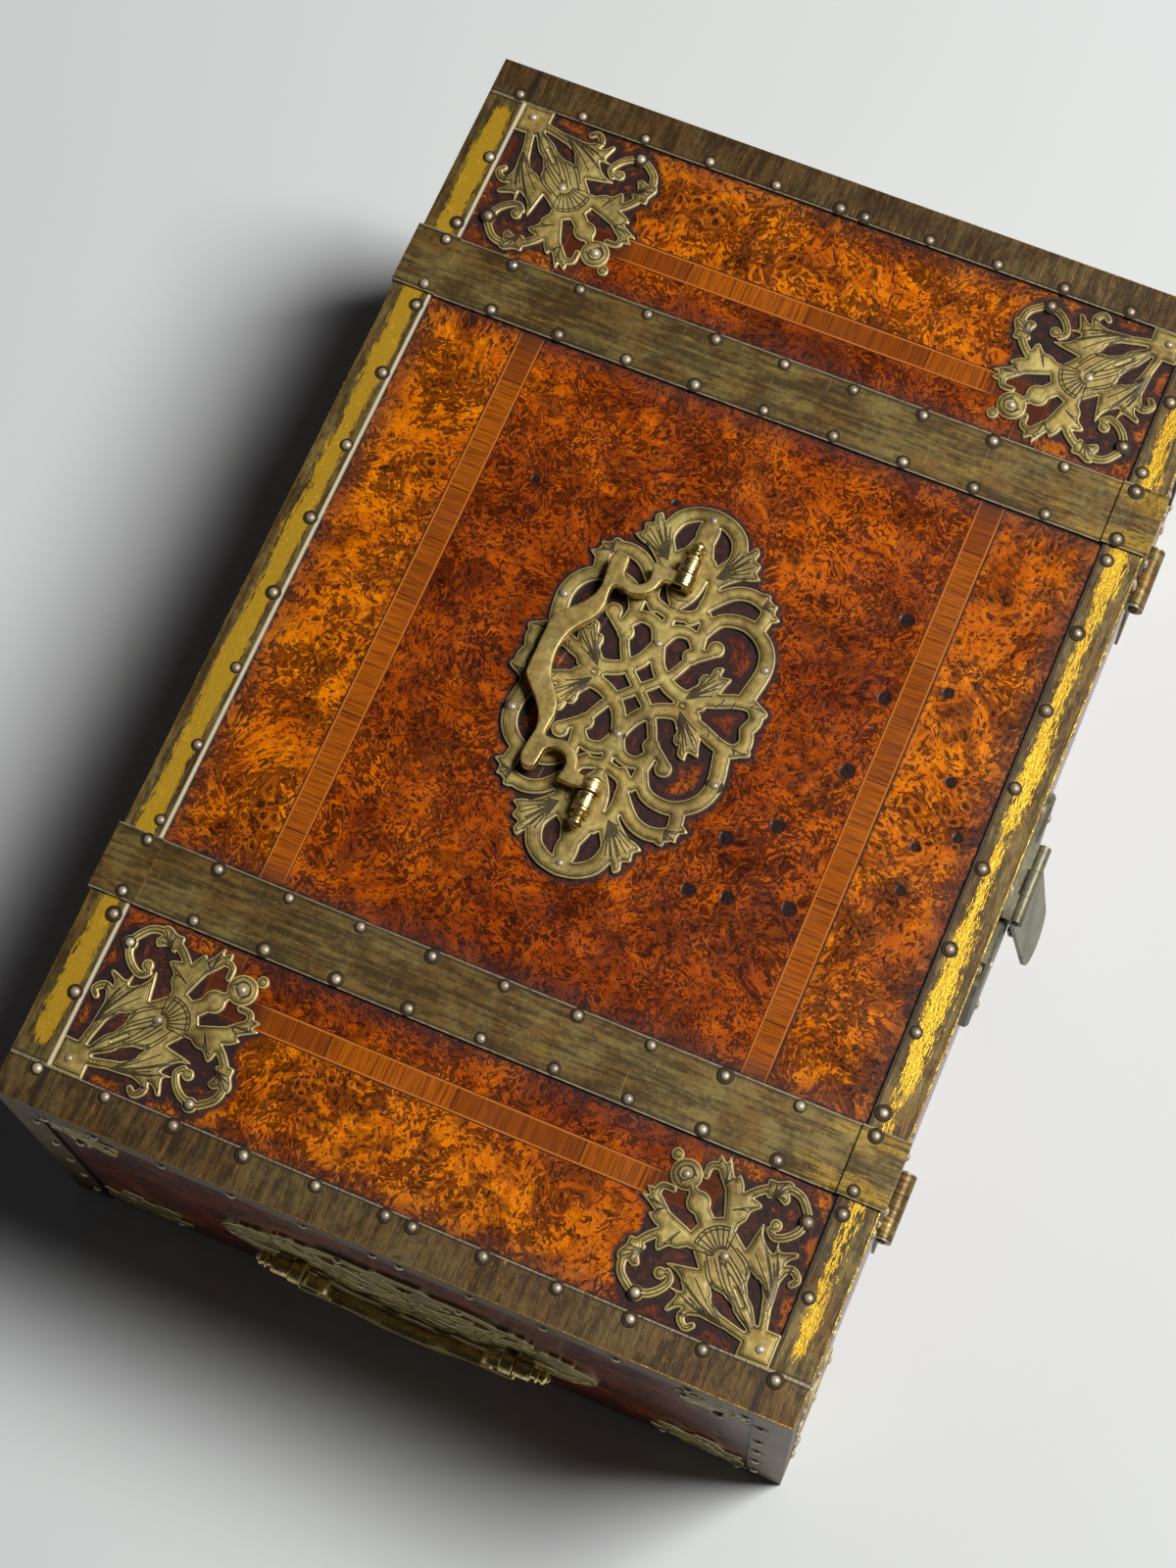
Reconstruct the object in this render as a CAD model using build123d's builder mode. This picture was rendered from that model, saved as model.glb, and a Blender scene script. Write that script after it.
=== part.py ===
"""Strongbox in burl veneer with brass strapwork, pierced mounts and three drop handles.

The box stands on the plane Z = 0 with its front towards -Y and its length along X.
The origin is the middle of the underside. All sizes are in millimetres.
"""

import os
from math import cos, hypot, radians, sin

from build123d import *

os.makedirs("parts", exist_ok=True)

# Overall size, over the edge straps
length = 440.0
depth = 296.0
height = 160.0
lid_height = 46.0

# Wood
board_thickness = 14.0
bottom_thickness = 10.0
panel_thickness = 12.0
veneer_thickness = 1.0
parting_gap = 0.3
chest_tail_count = 4
lid_tail_count = 1
tail_neck = 14.0
tail_flare = 1.6

# Inlaid band in the lid, measured to its outer edge
inlay_length = 333.0
inlay_depth = 192.0
inlay_width = 10.0
inlay_joint = 0.1

# Brass straps
strap_thickness = 1.2
edge_strap_width = 15.0
edge_strap_drop = 15.0
end_strap_joint = 2.0
corner_strap_width = 14.0
cross_strap_width = 25.7
cross_strap_middle = 128.9

# Hinges at the back, and the like ones that carry the side hasps
knuckle_count = 3
barrel_radius = 3.8
pin_radius = 1.7
pin_clearance = 0.05
barrel_gap = 0.15
knuckle_gap = 0.2
notch_room = 0.4
pin_end = 0.6
hinge_plate_drop = 62.0

# Side hasps
side_hasp_length = 52.0
side_hasp_tip_width = 19.0
side_hasp_thickness = 1.2
hasp_play = 0.3

# Centre hasp
hasp_knuckle_count = 3
hasp_width = 31.0
hasp_tip_width = 24.0
hasp_length = 66.0
hasp_thickness = 1.6
hasp_barrel_radius = 2.6
hasp_pin_radius = 1.2
hasp_open_angle = 9.5
hasp_back_offset = 2.6
hasp_plate_height = 9.0
staple_drop = 57.0
staple_height = 6.0
staple_thickness = 3.4
staple_reach = 9.0
staple_eye = 3.4

# Lock
lock_plate_width = 80.0
lock_plate_height = 72.0
lock_plate_thickness = 3.5
lock_plate_gap = 2.0
lock_plate_bevel = 1.2
hasp_gap = 0.4
slot_room = 0.8
lock_case_width = 64.0
lock_case_height = 30.0
lock_case_depth = 9.0
lock_case_wall = 1.2
bolt_height = 3.0
bolt_thickness = 2.8
bolt_length = 26.0
bolt_travel = 8.0
bolt_play = 0.2
guide_width = 3.0
keyhole_side = 21.0
keyhole_drop = 6.0
keyhole_radius = 2.6
key_pin_radius = 1.0

# Mounts
mount_thickness = 1.2
handle_plate_thickness = 1.6
outline_play = 0.45
least_opening = 3.0
side_mount_scale = 0.5
foot_mount_scale = 0.68

# Drop handles: u runs along the pivots and v away from them in the plane of the bail
collar_inner = 39.6
collar_outer = 44.6
collar_radius = 4.4
collar_lift = 0.4
post_gap = 0.3
post_cylinder = 7.0
post_length = 14.0
post_radius = 3.7
post_tip_radius = 1.4
post_stem_width = 5.0
post_tail_width = 4.0
post_tail_depth = 9.0
journal_radius = 1.74
journal_clearance = 0.06
journal_length = 6.0
bail_thickness = 5.0
grip_top = 38.4
grip_under = 31.4
end_handle_height = 64.0

# Faces that the pieces share
x_strap = length / 2
y_strap = depth / 2
x_veneer = x_strap - strap_thickness
y_veneer = y_strap - strap_thickness
z_veneer = height - strap_thickness
x_board = x_veneer - veneer_thickness
y_board = y_veneer - veneer_thickness
z_board = z_veneer - veneer_thickness
x_inside = x_board - board_thickness
y_inside = y_board - board_thickness
x_field = x_strap - edge_strap_width
y_field = y_strap - edge_strap_width
z_parting = height - lid_height
z_chest_top = z_parting - parting_gap
z_fold = height - edge_strap_drop
z_hinge = z_parting - parting_gap / 2
y_hinge = y_veneer + barrel_gap + barrel_radius
y_lock_face = y_veneer + lock_plate_thickness
y_hasp_hinge = y_lock_face + hasp_gap + hasp_back_offset
z_staple = z_hinge - staple_drop
pivot_lift = handle_plate_thickness + collar_lift + collar_radius
post_start = collar_outer + post_gap
post_middle = post_start + post_cylinder / 2


def front_plane(y):
    """Plane across the depth: local x is X, local y is Z, and it faces -Y."""
    return Plane(origin=(0, y, 0), x_dir=(1, 0, 0), z_dir=(0, -1, 0))


def end_plane(x):
    """Plane across the length: local x is Y, local y is Z, and it faces +X."""
    return Plane(origin=(x, 0, 0), x_dir=(0, 1, 0), z_dir=(1, 0, 0))


def face(plane, *points):
    """Straight-sided face on a plane."""
    with BuildSketch(plane) as flat:
        Polygon(*points, align=None)
    return flat.sketch


def box_face(plane, low, high):
    """Rectangle on a plane, between two corners."""
    return face(plane, low, (high[0], low[1]), high, (low[0], high[1]))


def disc(plane, middle, radius):
    """Round face on a plane."""
    with BuildSketch(plane) as flat:
        with Locations(middle):
            Circle(radius)
    return flat.sketch


def square(plane, middle, width):
    """Square face on a plane, round a middle."""
    x, y = middle
    half = width / 2
    return box_face(plane, (x - half, y - half), (x + half, y + half))


def cut(shape, amount):
    """Takes an extruded face away from the part in hand."""
    extrude(shape, amount=amount, mode=Mode.SUBTRACT)


def save(piece, name):
    """Labels the part and writes its file."""
    piece.part.label = name
    export_step(piece.part, f"parts/{name}.step")


def end_handle_plane(side):
    """Face of an end of the box: local y points down, the way its bail hangs."""
    return Plane(
        origin=(side * x_veneer, 0, end_handle_height),
        x_dir=(0, -side, 0),
        z_dir=(side, 0, 0),
    )


lid_handle_plane = Plane(origin=(0, 0, z_veneer), x_dir=(1, 0, 0), z_dir=(0, 0, 1))


def cut_post_holes(plane):
    """Bores the two holes for the tails of the handle posts."""
    seat = plane.offset(handle_plate_thickness)
    for side in (-1, 1):
        hole = square(seat, (side * post_middle, 0), post_tail_width + 2 * pin_clearance)
        cut(hole, -post_tail_depth - pin_clearance)


def tail_faces(plane, bottom, top, count):
    """Dovetails on both ends of a board that runs along X, as loose faces."""
    pitch = (top - bottom) / count
    neck = min(tail_neck, 0.6 * pitch) / 2
    tails = []
    for side in (-1, 1):
        for index in range(count):
            middle = bottom + (index + 0.5) * pitch
            tails.append(
                face(
                    plane,
                    (side * x_inside, middle - neck),
                    (side * x_board, middle - neck - tail_flare),
                    (side * x_board, middle + neck + tail_flare),
                    (side * x_inside, middle + neck),
                )
            )
    return tails


case_low = (-lock_case_width / 2, z_staple - lock_case_height / 2)
case_high = (lock_case_width / 2, z_staple + lock_case_height / 2)


def long_board(name, side, bottom, top, count):
    """Front or back board: its ends are cut to tails."""
    plane = front_plane(max(side * y_board, side * y_inside))
    with BuildPart() as board:
        extrude(box_face(plane, (-x_inside, bottom), (x_inside, top)), amount=board_thickness)
        for tail in tail_faces(plane, bottom, top, count):
            extrude(tail, amount=board_thickness)
        if name == "front_board":
            recess = box_face(front_plane(-y_veneer), case_low, case_high)
            cut(recess, -lock_case_depth)
    save(board, name)


def end_board(name, side, bottom, top, count):
    """Left or right board: its ends are cut to sockets for the tails."""
    plane = end_plane(min(side * x_board, side * x_inside))
    with BuildPart() as board:
        extrude(box_face(plane, (-y_board, bottom), (y_board, top)), amount=board_thickness)
        for y in (-y_inside, y_board):
            for tail in tail_faces(front_plane(y), bottom, top, count):
                cut(tail, board_thickness)
        if top < z_parting:
            cut_post_holes(end_handle_plane(side))
    save(board, name)


def layer(name, shapes, amount, handle_plane=None):
    """Saves flat faces as one thin layer, bored for the handle posts where they pass."""
    with BuildPart() as sheet:
        for shape in shapes:
            extrude(shape, amount=amount)
        if handle_plane is not None:
            cut_post_holes(handle_plane)
    save(sheet, name)


# Boards of the chest
layer(
    "bottom_board",
    [box_face(Plane.XY, (-x_board, -y_board), (x_board, y_board))],
    bottom_thickness,
)
chest_span = (bottom_thickness, z_chest_top, chest_tail_count)
long_board("front_board", -1, *chest_span)
long_board("back_board", 1, *chest_span)
end_board("left_board", -1, *chest_span)
end_board("right_board", 1, *chest_span)

# Boards of the lid
z_panel = z_board - panel_thickness
layer(
    "lid_panel",
    [box_face(Plane.XY.offset(z_panel), (-x_board, -y_board), (x_board, y_board))],
    panel_thickness,
    lid_handle_plane,
)
lid_span = (z_parting, z_panel, lid_tail_count)
long_board("lid_front_rail", -1, *lid_span)
long_board("lid_back_rail", 1, *lid_span)
end_board("lid_left_rail", -1, *lid_span)
end_board("lid_right_rail", 1, *lid_span)

# Veneer of the chest: the front one is cut out round the lock case
with BuildPart() as chest_front_veneer:
    extrude(
        box_face(front_plane(-y_board), (-x_veneer, 0), (x_veneer, z_chest_top)),
        amount=veneer_thickness,
    )
    cut(box_face(front_plane(-y_board), case_low, case_high), veneer_thickness)
save(chest_front_veneer, "chest_front_veneer")

back_face = box_face(front_plane(y_board), (-x_veneer, 0), (x_veneer, z_chest_top))
layer("chest_back_veneer", [back_face], -veneer_thickness)

for side, name in ((-1, "left_veneer"), (1, "right_veneer")):
    end_face = box_face(end_plane(side * x_board), (-y_board, 0), (y_board, z_chest_top))
    layer(name, [end_face], side * veneer_thickness, end_handle_plane(side))

# Veneer of the lid: sides, border, inlaid band and middle field
with BuildPart() as lid_side_veneers:
    rim = box_face(Plane.XY.offset(z_parting), (-x_veneer, -y_veneer), (x_veneer, y_veneer))
    extrude(rim, amount=z_board - z_parting)
    core = box_face(Plane.XY.offset(z_parting), (-x_board, -y_board), (x_board, y_board))
    cut(core, z_board - z_parting)
save(lid_side_veneers, "lid_side_veneers")

top_plane = Plane.XY.offset(z_board)
half_x = inlay_length / 2
half_y = inlay_depth / 2
field_x = half_x - inlay_width
field_y = half_y - inlay_width
with BuildPart() as lid_border_veneer:
    border = box_face(top_plane, (-x_veneer, -y_veneer), (x_veneer, y_veneer))
    extrude(border, amount=veneer_thickness)
    cut(box_face(top_plane, (-half_x, -half_y), (half_x, half_y)), veneer_thickness)
save(lid_border_veneer, "lid_border_veneer")

band = []
for side in (-1, 1):
    long_strip = [(-half_x, half_y), (half_x, half_y), (field_x, field_y), (-field_x, field_y)]
    end_y = half_y - inlay_joint
    near_y = field_y - inlay_joint
    short_strip = [(half_x, -end_y), (half_x, end_y), (field_x, near_y), (field_x, -near_y)]
    band.append(face(top_plane, *[(x, side * y) for x, y in long_strip]))
    band.append(face(top_plane, *[(side * x, y) for x, y in short_strip]))
with BuildPart() as lid_crossbanding:
    add([extrude(strip, amount=veneer_thickness, mode=Mode.PRIVATE) for strip in band])
save(lid_crossbanding, "lid_crossbanding")

field_face = box_face(top_plane, (-field_x, -field_y), (field_x, field_y))
layer("lid_field_veneer", [field_face], veneer_thickness, lid_handle_plane)


# Edge straps of the lid: an angle folded over each upper edge, mitred at the corners
def angle_face(plane):
    """Section of an edge strap: local x runs inwards from its outer face."""
    return face(
        plane,
        (0, z_fold),
        (strap_thickness, z_fold),
        (strap_thickness, z_veneer),
        (edge_strap_width, z_veneer),
        (edge_strap_width, height),
        (0, height),
    )


def mitre(x_side, y_side, spare):
    """Removes the half of a top corner that the neighbouring strap fills."""
    outer = (x_side * x_strap, y_side * y_strap)
    inner = (x_side * x_field, y_side * y_field)
    cut(face(Plane.XY.offset(z_fold), outer, inner, spare), edge_strap_drop)


for side, name in ((-1, "lid_front_edge_strap"), (1, "lid_back_edge_strap")):
    start = Plane(
        origin=(side * x_strap, side * y_strap, 0), x_dir=(0, -side, 0), z_dir=(-side, 0, 0)
    )
    with BuildPart() as edge_strap:
        extrude(angle_face(start), amount=length)
        for x_side in (-1, 1):
            mitre(x_side, side, (x_side * x_strap, side * y_field))
    save(edge_strap, name)

# Each end strap is two lengths that butt a little off the middle
for x_side, x_name in ((-1, "left"), (1, "right")):
    for y_side, y_name in ((-1, "front"), (1, "back")):
        start = Plane(
            origin=(x_side * x_strap, end_strap_joint, 0), x_dir=(-x_side, 0, 0), z_dir=(0, x_side, 0)
        )
        with BuildPart() as edge_strap:
            run = x_side * (y_side * y_strap - end_strap_joint)
            extrude(angle_face(start), amount=run)
            mitre(x_side, y_side, (x_side * x_field, y_side * y_strap))
        save(edge_strap, f"lid_{x_name}_edge_strap_{y_name}")


# Corner straps: an upright angle at each corner of the chest, and a short one on the lid
def corner_straps(name, bottom, top):
    wide = corner_strap_width
    angle = [(0, 0), (wide, 0), (wide, strap_thickness), (strap_thickness, strap_thickness)]
    angle += [(strap_thickness, wide), (0, wide)]
    with BuildPart() as straps:
        for x_side in (-1, 1):
            for y_side in (-1, 1):
                corner = [(x_side * (x_strap - a), y_side * (y_strap - b)) for a, b in angle]
                extrude(face(Plane.XY.offset(bottom), *corner), amount=top - bottom)
    save(straps, name)


corner_straps("chest_corner_straps", 0, z_chest_top)
corner_straps("lid_corner_straps", z_parting, z_fold)


class Barrel:
    """A hinge barrel along X, shared by two leaves that own different knuckles."""

    def __init__(self, middle, width, count, y, z, radius, pin):
        self.start = middle - width / 2
        self.width = width
        self.count = count
        self.axis = (y, z)
        self.radius = radius
        self.pin = pin

    def span(self, index, gap):
        """Ends of one knuckle along X, drawn in by gap where a neighbour stands."""
        step = self.width / self.count
        low = self.start + index * step + (gap if index > 0 else 0)
        high = self.start + (index + 1) * step - (gap if index < self.count - 1 else 0)
        return low, high

    def clear(self, others):
        """Cuts the leaf in hand away round the other leaf's knuckles."""
        y, z = self.axis
        room = self.radius + notch_room
        for index in others:
            low, high = self.span(index, -knuckle_gap / 2)
            box = box_face(end_plane(low), (y - room, z - room), (y + room, z + room))
            cut(box, high - low)

    def knuckles(self, owned):
        """Adds the leaf's own knuckles and bores them for the pin."""
        for index in owned:
            low, high = self.span(index, knuckle_gap / 2)
            extrude(disc(end_plane(low), self.axis, self.radius), amount=high - low)
        cut(disc(end_plane(self.start), self.axis, self.pin + pin_clearance), self.width)

    def leaf(self, owned):
        """Cuts the leaf round the other knuckles, then adds its own."""
        self.clear([index for index in range(self.count) if index not in owned])
        self.knuckles(owned)

    def add_pin(self):
        """Adds the pin, which stands out a little at each end of the barrel."""
        end = end_plane(self.start - pin_end)
        extrude(disc(end, self.axis, self.pin), amount=self.width + 2 * pin_end)


def strap_barrel(side, y):
    """Barrel at the foot of a cross strap, on the back or on the front."""
    middle = side * cross_strap_middle
    return Barrel(middle, cross_strap_width, knuckle_count, y, z_hinge, barrel_radius, pin_radius)


outer_knuckles = (0, 2)
inner_knuckle = (1,)


# Cross straps: each folds over the lid, laps the edge straps and ends in knuckles
def cross_strap(name, side):
    t = strap_thickness
    low = z_parting + parting_gap
    # One half of the section, from the foot of the inner face up to the middle of the lid
    inner = [(y_veneer, low), (y_veneer, z_fold), (y_strap, z_fold), (y_strap, height)]
    inner += [(y_field, height), (y_field, z_veneer)]
    outer = [(y_field - t, height), (y_field - t, height + t), (y_strap + t, height + t)]
    outer += [(y_strap + t, z_fold - t), (y_strap, z_fold - t), (y_strap, low)]
    section = inner + [(-y, z) for y, z in reversed(inner)]
    section += [(-y, z) for y, z in reversed(outer)] + outer
    with BuildPart() as strap:
        start = end_plane(side * cross_strap_middle - cross_strap_width / 2)
        extrude(face(start, *section), amount=cross_strap_width)
        strap_barrel(side, y_hinge).leaf(inner_knuckle)
        strap_barrel(side, -y_hinge).leaf(outer_knuckles)
    save(strap, name)


cross_strap("left_cross_strap", -1)
cross_strap("right_cross_strap", 1)


def tongue(plane, middle, top, drop, wide, tip):
    """Outline of a hasp: it tapers to a round tip."""
    half = wide / 2
    end = tip / 2
    with BuildSketch(plane) as flat:
        with BuildLine():
            Polyline(
                (middle - end, top - drop + end),
                (middle - half, top),
                (middle + half, top),
                (middle + end, top - drop + end),
            )
            ThreePointArc(
                (middle + end, top - drop + end),
                (middle, top - drop),
                (middle - end, top - drop + end),
            )
        make_face()
    return flat.sketch


# Hinge plates on the back of the chest, with round feet
with BuildPart() as hinge_plates:
    for side in (-1, 1):
        middle = side * cross_strap_middle
        plane = front_plane(y_veneer)
        extrude(
            tongue(plane, middle, z_chest_top, hinge_plate_drop, cross_strap_width, cross_strap_width),
            amount=-strap_thickness,
        )
        strap_barrel(side, y_hinge).leaf(outer_knuckles)
save(hinge_plates, "hinge_plates")

for name, y in (("hinge_pins", y_hinge), ("side_hasp_pins", -y_hinge)):
    with BuildPart() as pins:
        for side in (-1, 1):
            strap_barrel(side, y).add_pin()
    save(pins, name)


# Side hasps hang free in front of the chest
for side, name in ((-1, "left_hasp"), (1, "right_hasp")):
    with BuildPart() as hasp:
        leaf = tongue(
            front_plane(-y_veneer - hasp_play - strap_thickness),
            side * cross_strap_middle,
            z_hinge,
            side_hasp_length,
            cross_strap_width,
            side_hasp_tip_width,
        )
        extrude(leaf, amount=side_hasp_thickness)
        strap_barrel(side, -y_hinge).leaf(inner_knuckle)
    save(hasp, name)

# Centre hasp: a plate on the lid is bent out to a barrel that clears the lock plate
hasp_barrel = Barrel(
    0, hasp_width, hasp_knuckle_count, -y_hasp_hinge, z_hinge, hasp_barrel_radius, hasp_pin_radius
)
with BuildPart() as hasp_hinge_plate:
    z_ledge = z_parting + parting_gap
    bent = face(
        end_plane(-hasp_width / 2),
        (-y_veneer, z_parting + hasp_plate_height),
        (-y_veneer, z_ledge),
        (-y_hasp_hinge, z_ledge),
        (-y_hasp_hinge, z_ledge + strap_thickness),
        (-y_strap, z_ledge + strap_thickness),
        (-y_strap, z_parting + hasp_plate_height),
    )
    extrude(bent, amount=hasp_width)
    hasp_barrel.leaf(outer_knuckles)
save(hasp_hinge_plate, "hasp_hinge_plate")

with BuildPart() as centre_hasp_pin:
    hasp_barrel.add_pin()
save(centre_hasp_pin, "centre_hasp_pin")

# The leaf rests a little open, so it is drawn on a plane tilted about the barrel
tilt = radians(hasp_open_angle)
hasp_out = (0, -cos(tilt), sin(tilt))
hasp_plane = Plane(origin=(0, -y_hasp_hinge, z_hinge), x_dir=(1, 0, 0), z_dir=hasp_out)
leaf_back = hasp_plane.offset(-hasp_back_offset)
with BuildPart() as centre_hasp:
    leaf = tongue(leaf_back, 0, 0, hasp_length, hasp_width, hasp_tip_width)
    extrude(leaf, amount=hasp_thickness)
    hasp_barrel.leaf(inner_knuckle)
save(centre_hasp, "centre_hasp")

# The staple on its back has an eye for the bolt
eye_depth = hasp_gap + lock_plate_thickness + lock_case_wall + bolt_thickness / 2
with BuildPart() as hasp_staple:
    half = staple_thickness / 2
    root = box_face(
        leaf_back,
        (-half, -staple_drop - staple_height / 2),
        (half, -staple_drop + staple_height / 2),
    )
    extrude(root, amount=-staple_reach)
    across = Plane(origin=leaf_back.origin, x_dir=hasp_out, z_dir=(1, 0, 0)).offset(-half)
    far = -eye_depth - staple_eye / 2
    near = -eye_depth + staple_eye / 2
    z_dir = across.y_dir.Z
    eye_low = -z_dir * staple_drop - staple_eye / 2
    eye_high = -z_dir * staple_drop + staple_eye / 2
    cut(box_face(across, (far, eye_low), (near, eye_high)), staple_thickness)
save(hasp_staple, "hasp_staple")

# Lock plate with hollowed corners, bevelled edge, slot for the staple and keyhole
z_plate_top = z_chest_top - lock_plate_gap
z_plate_low = z_plate_top - lock_plate_height
z_key = z_staple - keyhole_drop
with BuildPart() as lock_plate:
    plane = front_plane(-y_veneer)
    half = lock_plate_width / 2
    extrude(box_face(plane, (-half, z_plate_low), (half, z_plate_top)), amount=lock_plate_thickness)
    for x in (-half, half):
        for z in (z_plate_low, z_plate_top):
            cut(disc(plane, (x, z), lock_plate_thickness * 2), lock_plate_thickness)
    front_rim = lock_plate.faces().sort_by(Axis.Y)[0].edges()
    chamfer(front_rim, lock_plate_bevel)
    half = staple_thickness / 2 + slot_room
    slot_low = z_staple - staple_height / 2 - 2.5 * slot_room
    slot_high = z_staple + staple_height / 2 + slot_room
    cut(box_face(plane, (-half, slot_low), (half, slot_high)), lock_plate_thickness)
    cut(disc(plane, (keyhole_side, z_key), keyhole_radius), lock_plate_thickness)
    half = keyhole_radius / 2
    bit = box_face(plane, (keyhole_side - half, z_key - 3 * keyhole_radius), (keyhole_side + half, z_key))
    cut(bit, lock_plate_thickness)
save(lock_plate, "lock_plate")

# Lock case: a tray mortised into the front board, with two guides for the bolt
y_case_floor = y_veneer - lock_case_depth + lock_case_wall
y_bolt = y_hasp_hinge - hasp_back_offset - eye_depth
bolt_rest = staple_thickness / 2 + slot_room
z_bolt_low = z_staple - bolt_height / 2
bolt_opening = [
    (-y_bolt - bolt_thickness / 2 - bolt_play, z_bolt_low - bolt_play),
    (-y_bolt + bolt_thickness / 2 + bolt_play, z_bolt_low + bolt_height + bolt_play),
]
with BuildPart() as lock_case:
    extrude(box_face(front_plane(-y_veneer), case_low, case_high), amount=-lock_case_depth)
    hollow_low = (case_low[0] + lock_case_wall, case_low[1] + lock_case_wall)
    hollow_high = (case_high[0] - lock_case_wall, case_high[1] - lock_case_wall)
    hollow = box_face(front_plane(-y_veneer), hollow_low, hollow_high)
    cut(hollow, lock_case_wall - lock_case_depth)
    for x in (bolt_rest + guide_width, bolt_rest + bolt_length - bolt_travel - 2 * guide_width):
        block = box_face(
            end_plane(x),
            (-y_bolt - bolt_thickness / 2 - lock_case_wall / 2, z_bolt_low - bolt_height),
            (-y_case_floor, z_bolt_low + 2 * bolt_height),
        )
        extrude(block, amount=guide_width)
        cut(box_face(end_plane(x), *bolt_opening), guide_width)
save(lock_case, "lock_case")

# The bolt rests drawn back, beside the slot, and has a notch for the key
with BuildPart() as lock_bolt:
    bar = box_face(
        end_plane(bolt_rest),
        (-y_bolt - bolt_thickness / 2, z_bolt_low),
        (-y_bolt + bolt_thickness / 2, z_bolt_low + bolt_height),
    )
    extrude(bar, amount=bolt_length)
    notch = disc(front_plane(-y_veneer), (keyhole_side, z_bolt_low), bolt_height / 2)
    cut(notch, -lock_case_depth)
save(lock_bolt, "lock_bolt")

# The spring is a bowed strip that presses on the bolt from above
z_spring = z_bolt_low + 2 * bolt_height + bolt_play
spring_top = case_high[1] - lock_case_wall
strip = lock_case_wall / 2
bends = [(0.0, 0.0), (0.3, 0.7), (0.5, 1.0), (0.7, 0.7), (1.0, 0.0)]
spring_length = bolt_length - guide_width
with BuildPart() as bolt_spring:
    lower = []
    for along, drop in bends:
        x = bolt_rest + guide_width + along * spring_length
        lower.append((x, spring_top - strip - drop * (spring_top - strip - z_spring)))
    upper = [(x, z + strip) for x, z in reversed(lower)]
    extrude(face(front_plane(-y_bolt - bolt_thickness / 2), *lower, *upper), amount=-bolt_thickness)
save(bolt_spring, "bolt_spring")

with BuildPart() as key_pin:
    pin_face = disc(front_plane(-y_case_floor), (keyhole_side, z_key), key_pin_radius)
    extrude(pin_face, amount=lock_case_depth - lock_case_wall + lock_plate_thickness / 2)
save(key_pin, "key_pin")


# Pierced mounts are drawn as ribbons: each follows a few points and tapers between two widths
def ribbon(points, start, end):
    """Outline of a ribbon along points, from width start to width end."""
    left = []
    right = []
    last = len(points) - 1
    for index, (x, y) in enumerate(points):
        before = points[max(index - 1, 0)]
        after = points[min(index + 1, last)]
        along = (after[0] - before[0], after[1] - before[1])
        half = (start + (end - start) * index / last) / 2 / hypot(*along)
        left.append((x - along[1] * half, y + along[0] * half))
        right.append((x + along[1] * half, y - along[0] * half))
    return left + right[::-1]


# Corner mount, in distances from the corner of the field along both edges
corner_ribbons = [
    ([(28, 15), (29.9, 17.7), (32.6, 22.7), (35.8, 26.8), (39, 29.9), (48.6, 33.6)], 3.4, 3.6),
    ([(48.6, 33.6), (53.6, 36.1), (56.6, 40), (55.8, 43.3), (52, 43.6)], 3.6, 2.2),
    ([(9, 6.2), (16.3, 7.7), (21.7, 9), (27.2, 9.2)], 3.4, 3.4),
    ([(27.2, 9.2), (32, 7.6), (33.4, 4.6), (31, 2.1), (28.8, 3.6)], 4.0, 2.2),
    ([(49.5, 29.5), (53.6, 25.8), (56.6, 21.5), (58.6, 15.5), (57.4, 10.8), (53.1, 7.2)], 3.4, 3.0),
    ([(51.5, 6.5), (46.7, 7.7), (43.1, 10.8), (41.4, 14.6), (43.2, 17)], 3.2, 3.0),
]
corner_leaves = [
    [(8, 8), (16.3, 12), (19.5, 14.9), (23.6, 17.2), (28.3, 18), (32, 24), (36, 29), (29, 31), (20, 20)],
    [(34, 38), (38, 34), (47, 44.5), (44.5, 47)],
    [(9, 6), (19.9, 10.1), (24.5, 12.5), (27.6, 16), (30.5, 21.9), (37.2, 21.3), (44.5, 19.6)]
    + [(40.4, 18.1), (37.6, 15.4), (36.4, 12.8), (40.4, 12.6), (37.8, 10.9), (39.5, 5.6)]
    + [(38, 4.9), (35.4, 7.4), (30, 7.4)],
    [(38, 30.5), (42.7, 25.7), (46.3, 25), (49.2, 22.2), (50.8, 24.6), (51, 31.5)],
    [(47, 32.5), (51.7, 29.7), (56.7, 32.7), (55.4, 34.5), (61.7, 38.1), (58.9, 38.9), (61.1, 41.5), (56, 41)],
    [(53.1, 22.2), (59, 23.6), (59.6, 20.4), (61.5, 17.2), (60.4, 14.8), (57.5, 15.4)]
    + [(54.9, 14.3), (52.8, 15.6), (54.2, 19)],
]
corner_knobs = [(50.4, 6.3, 2.8), (45.4, 15.6, 2.2), (42.5, 42.5, 4.3), (49.9, 49.9, 5.9), (55.1, 55.1, 2.0)]
corner_foot = 12.0
shell_middle = 29.3
shell_radius = 12.1


def knob(x, y, radius, sides=10):
    """Points round a small boss."""
    return [(x + radius * cos(radians(360 * i / sides)), y + radius * sin(radians(360 * i / sides)))
            for i in range(sides)]


def shell():
    """Fan between the two main stems of a corner mount."""
    rim = [radians(angle) for angle in range(-10, 101, 11)]
    fan = [(shell_middle + shell_radius * cos(t), shell_middle + shell_radius * sin(t)) for t in rim]
    return [(27, 27)] + fan


def kept(run):
    """Corners of an open run, from its start on, that stand off the line between kept ones."""
    chord = run[-1] - run[0]
    off = [(point - run[0]).cross(chord).length / chord.length for point in run]
    furthest = off.index(max(off))
    if off[furthest] < outline_play:
        return [run[0]]
    return kept(run[: furthest + 1]) + kept(run[furthest:])


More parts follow.
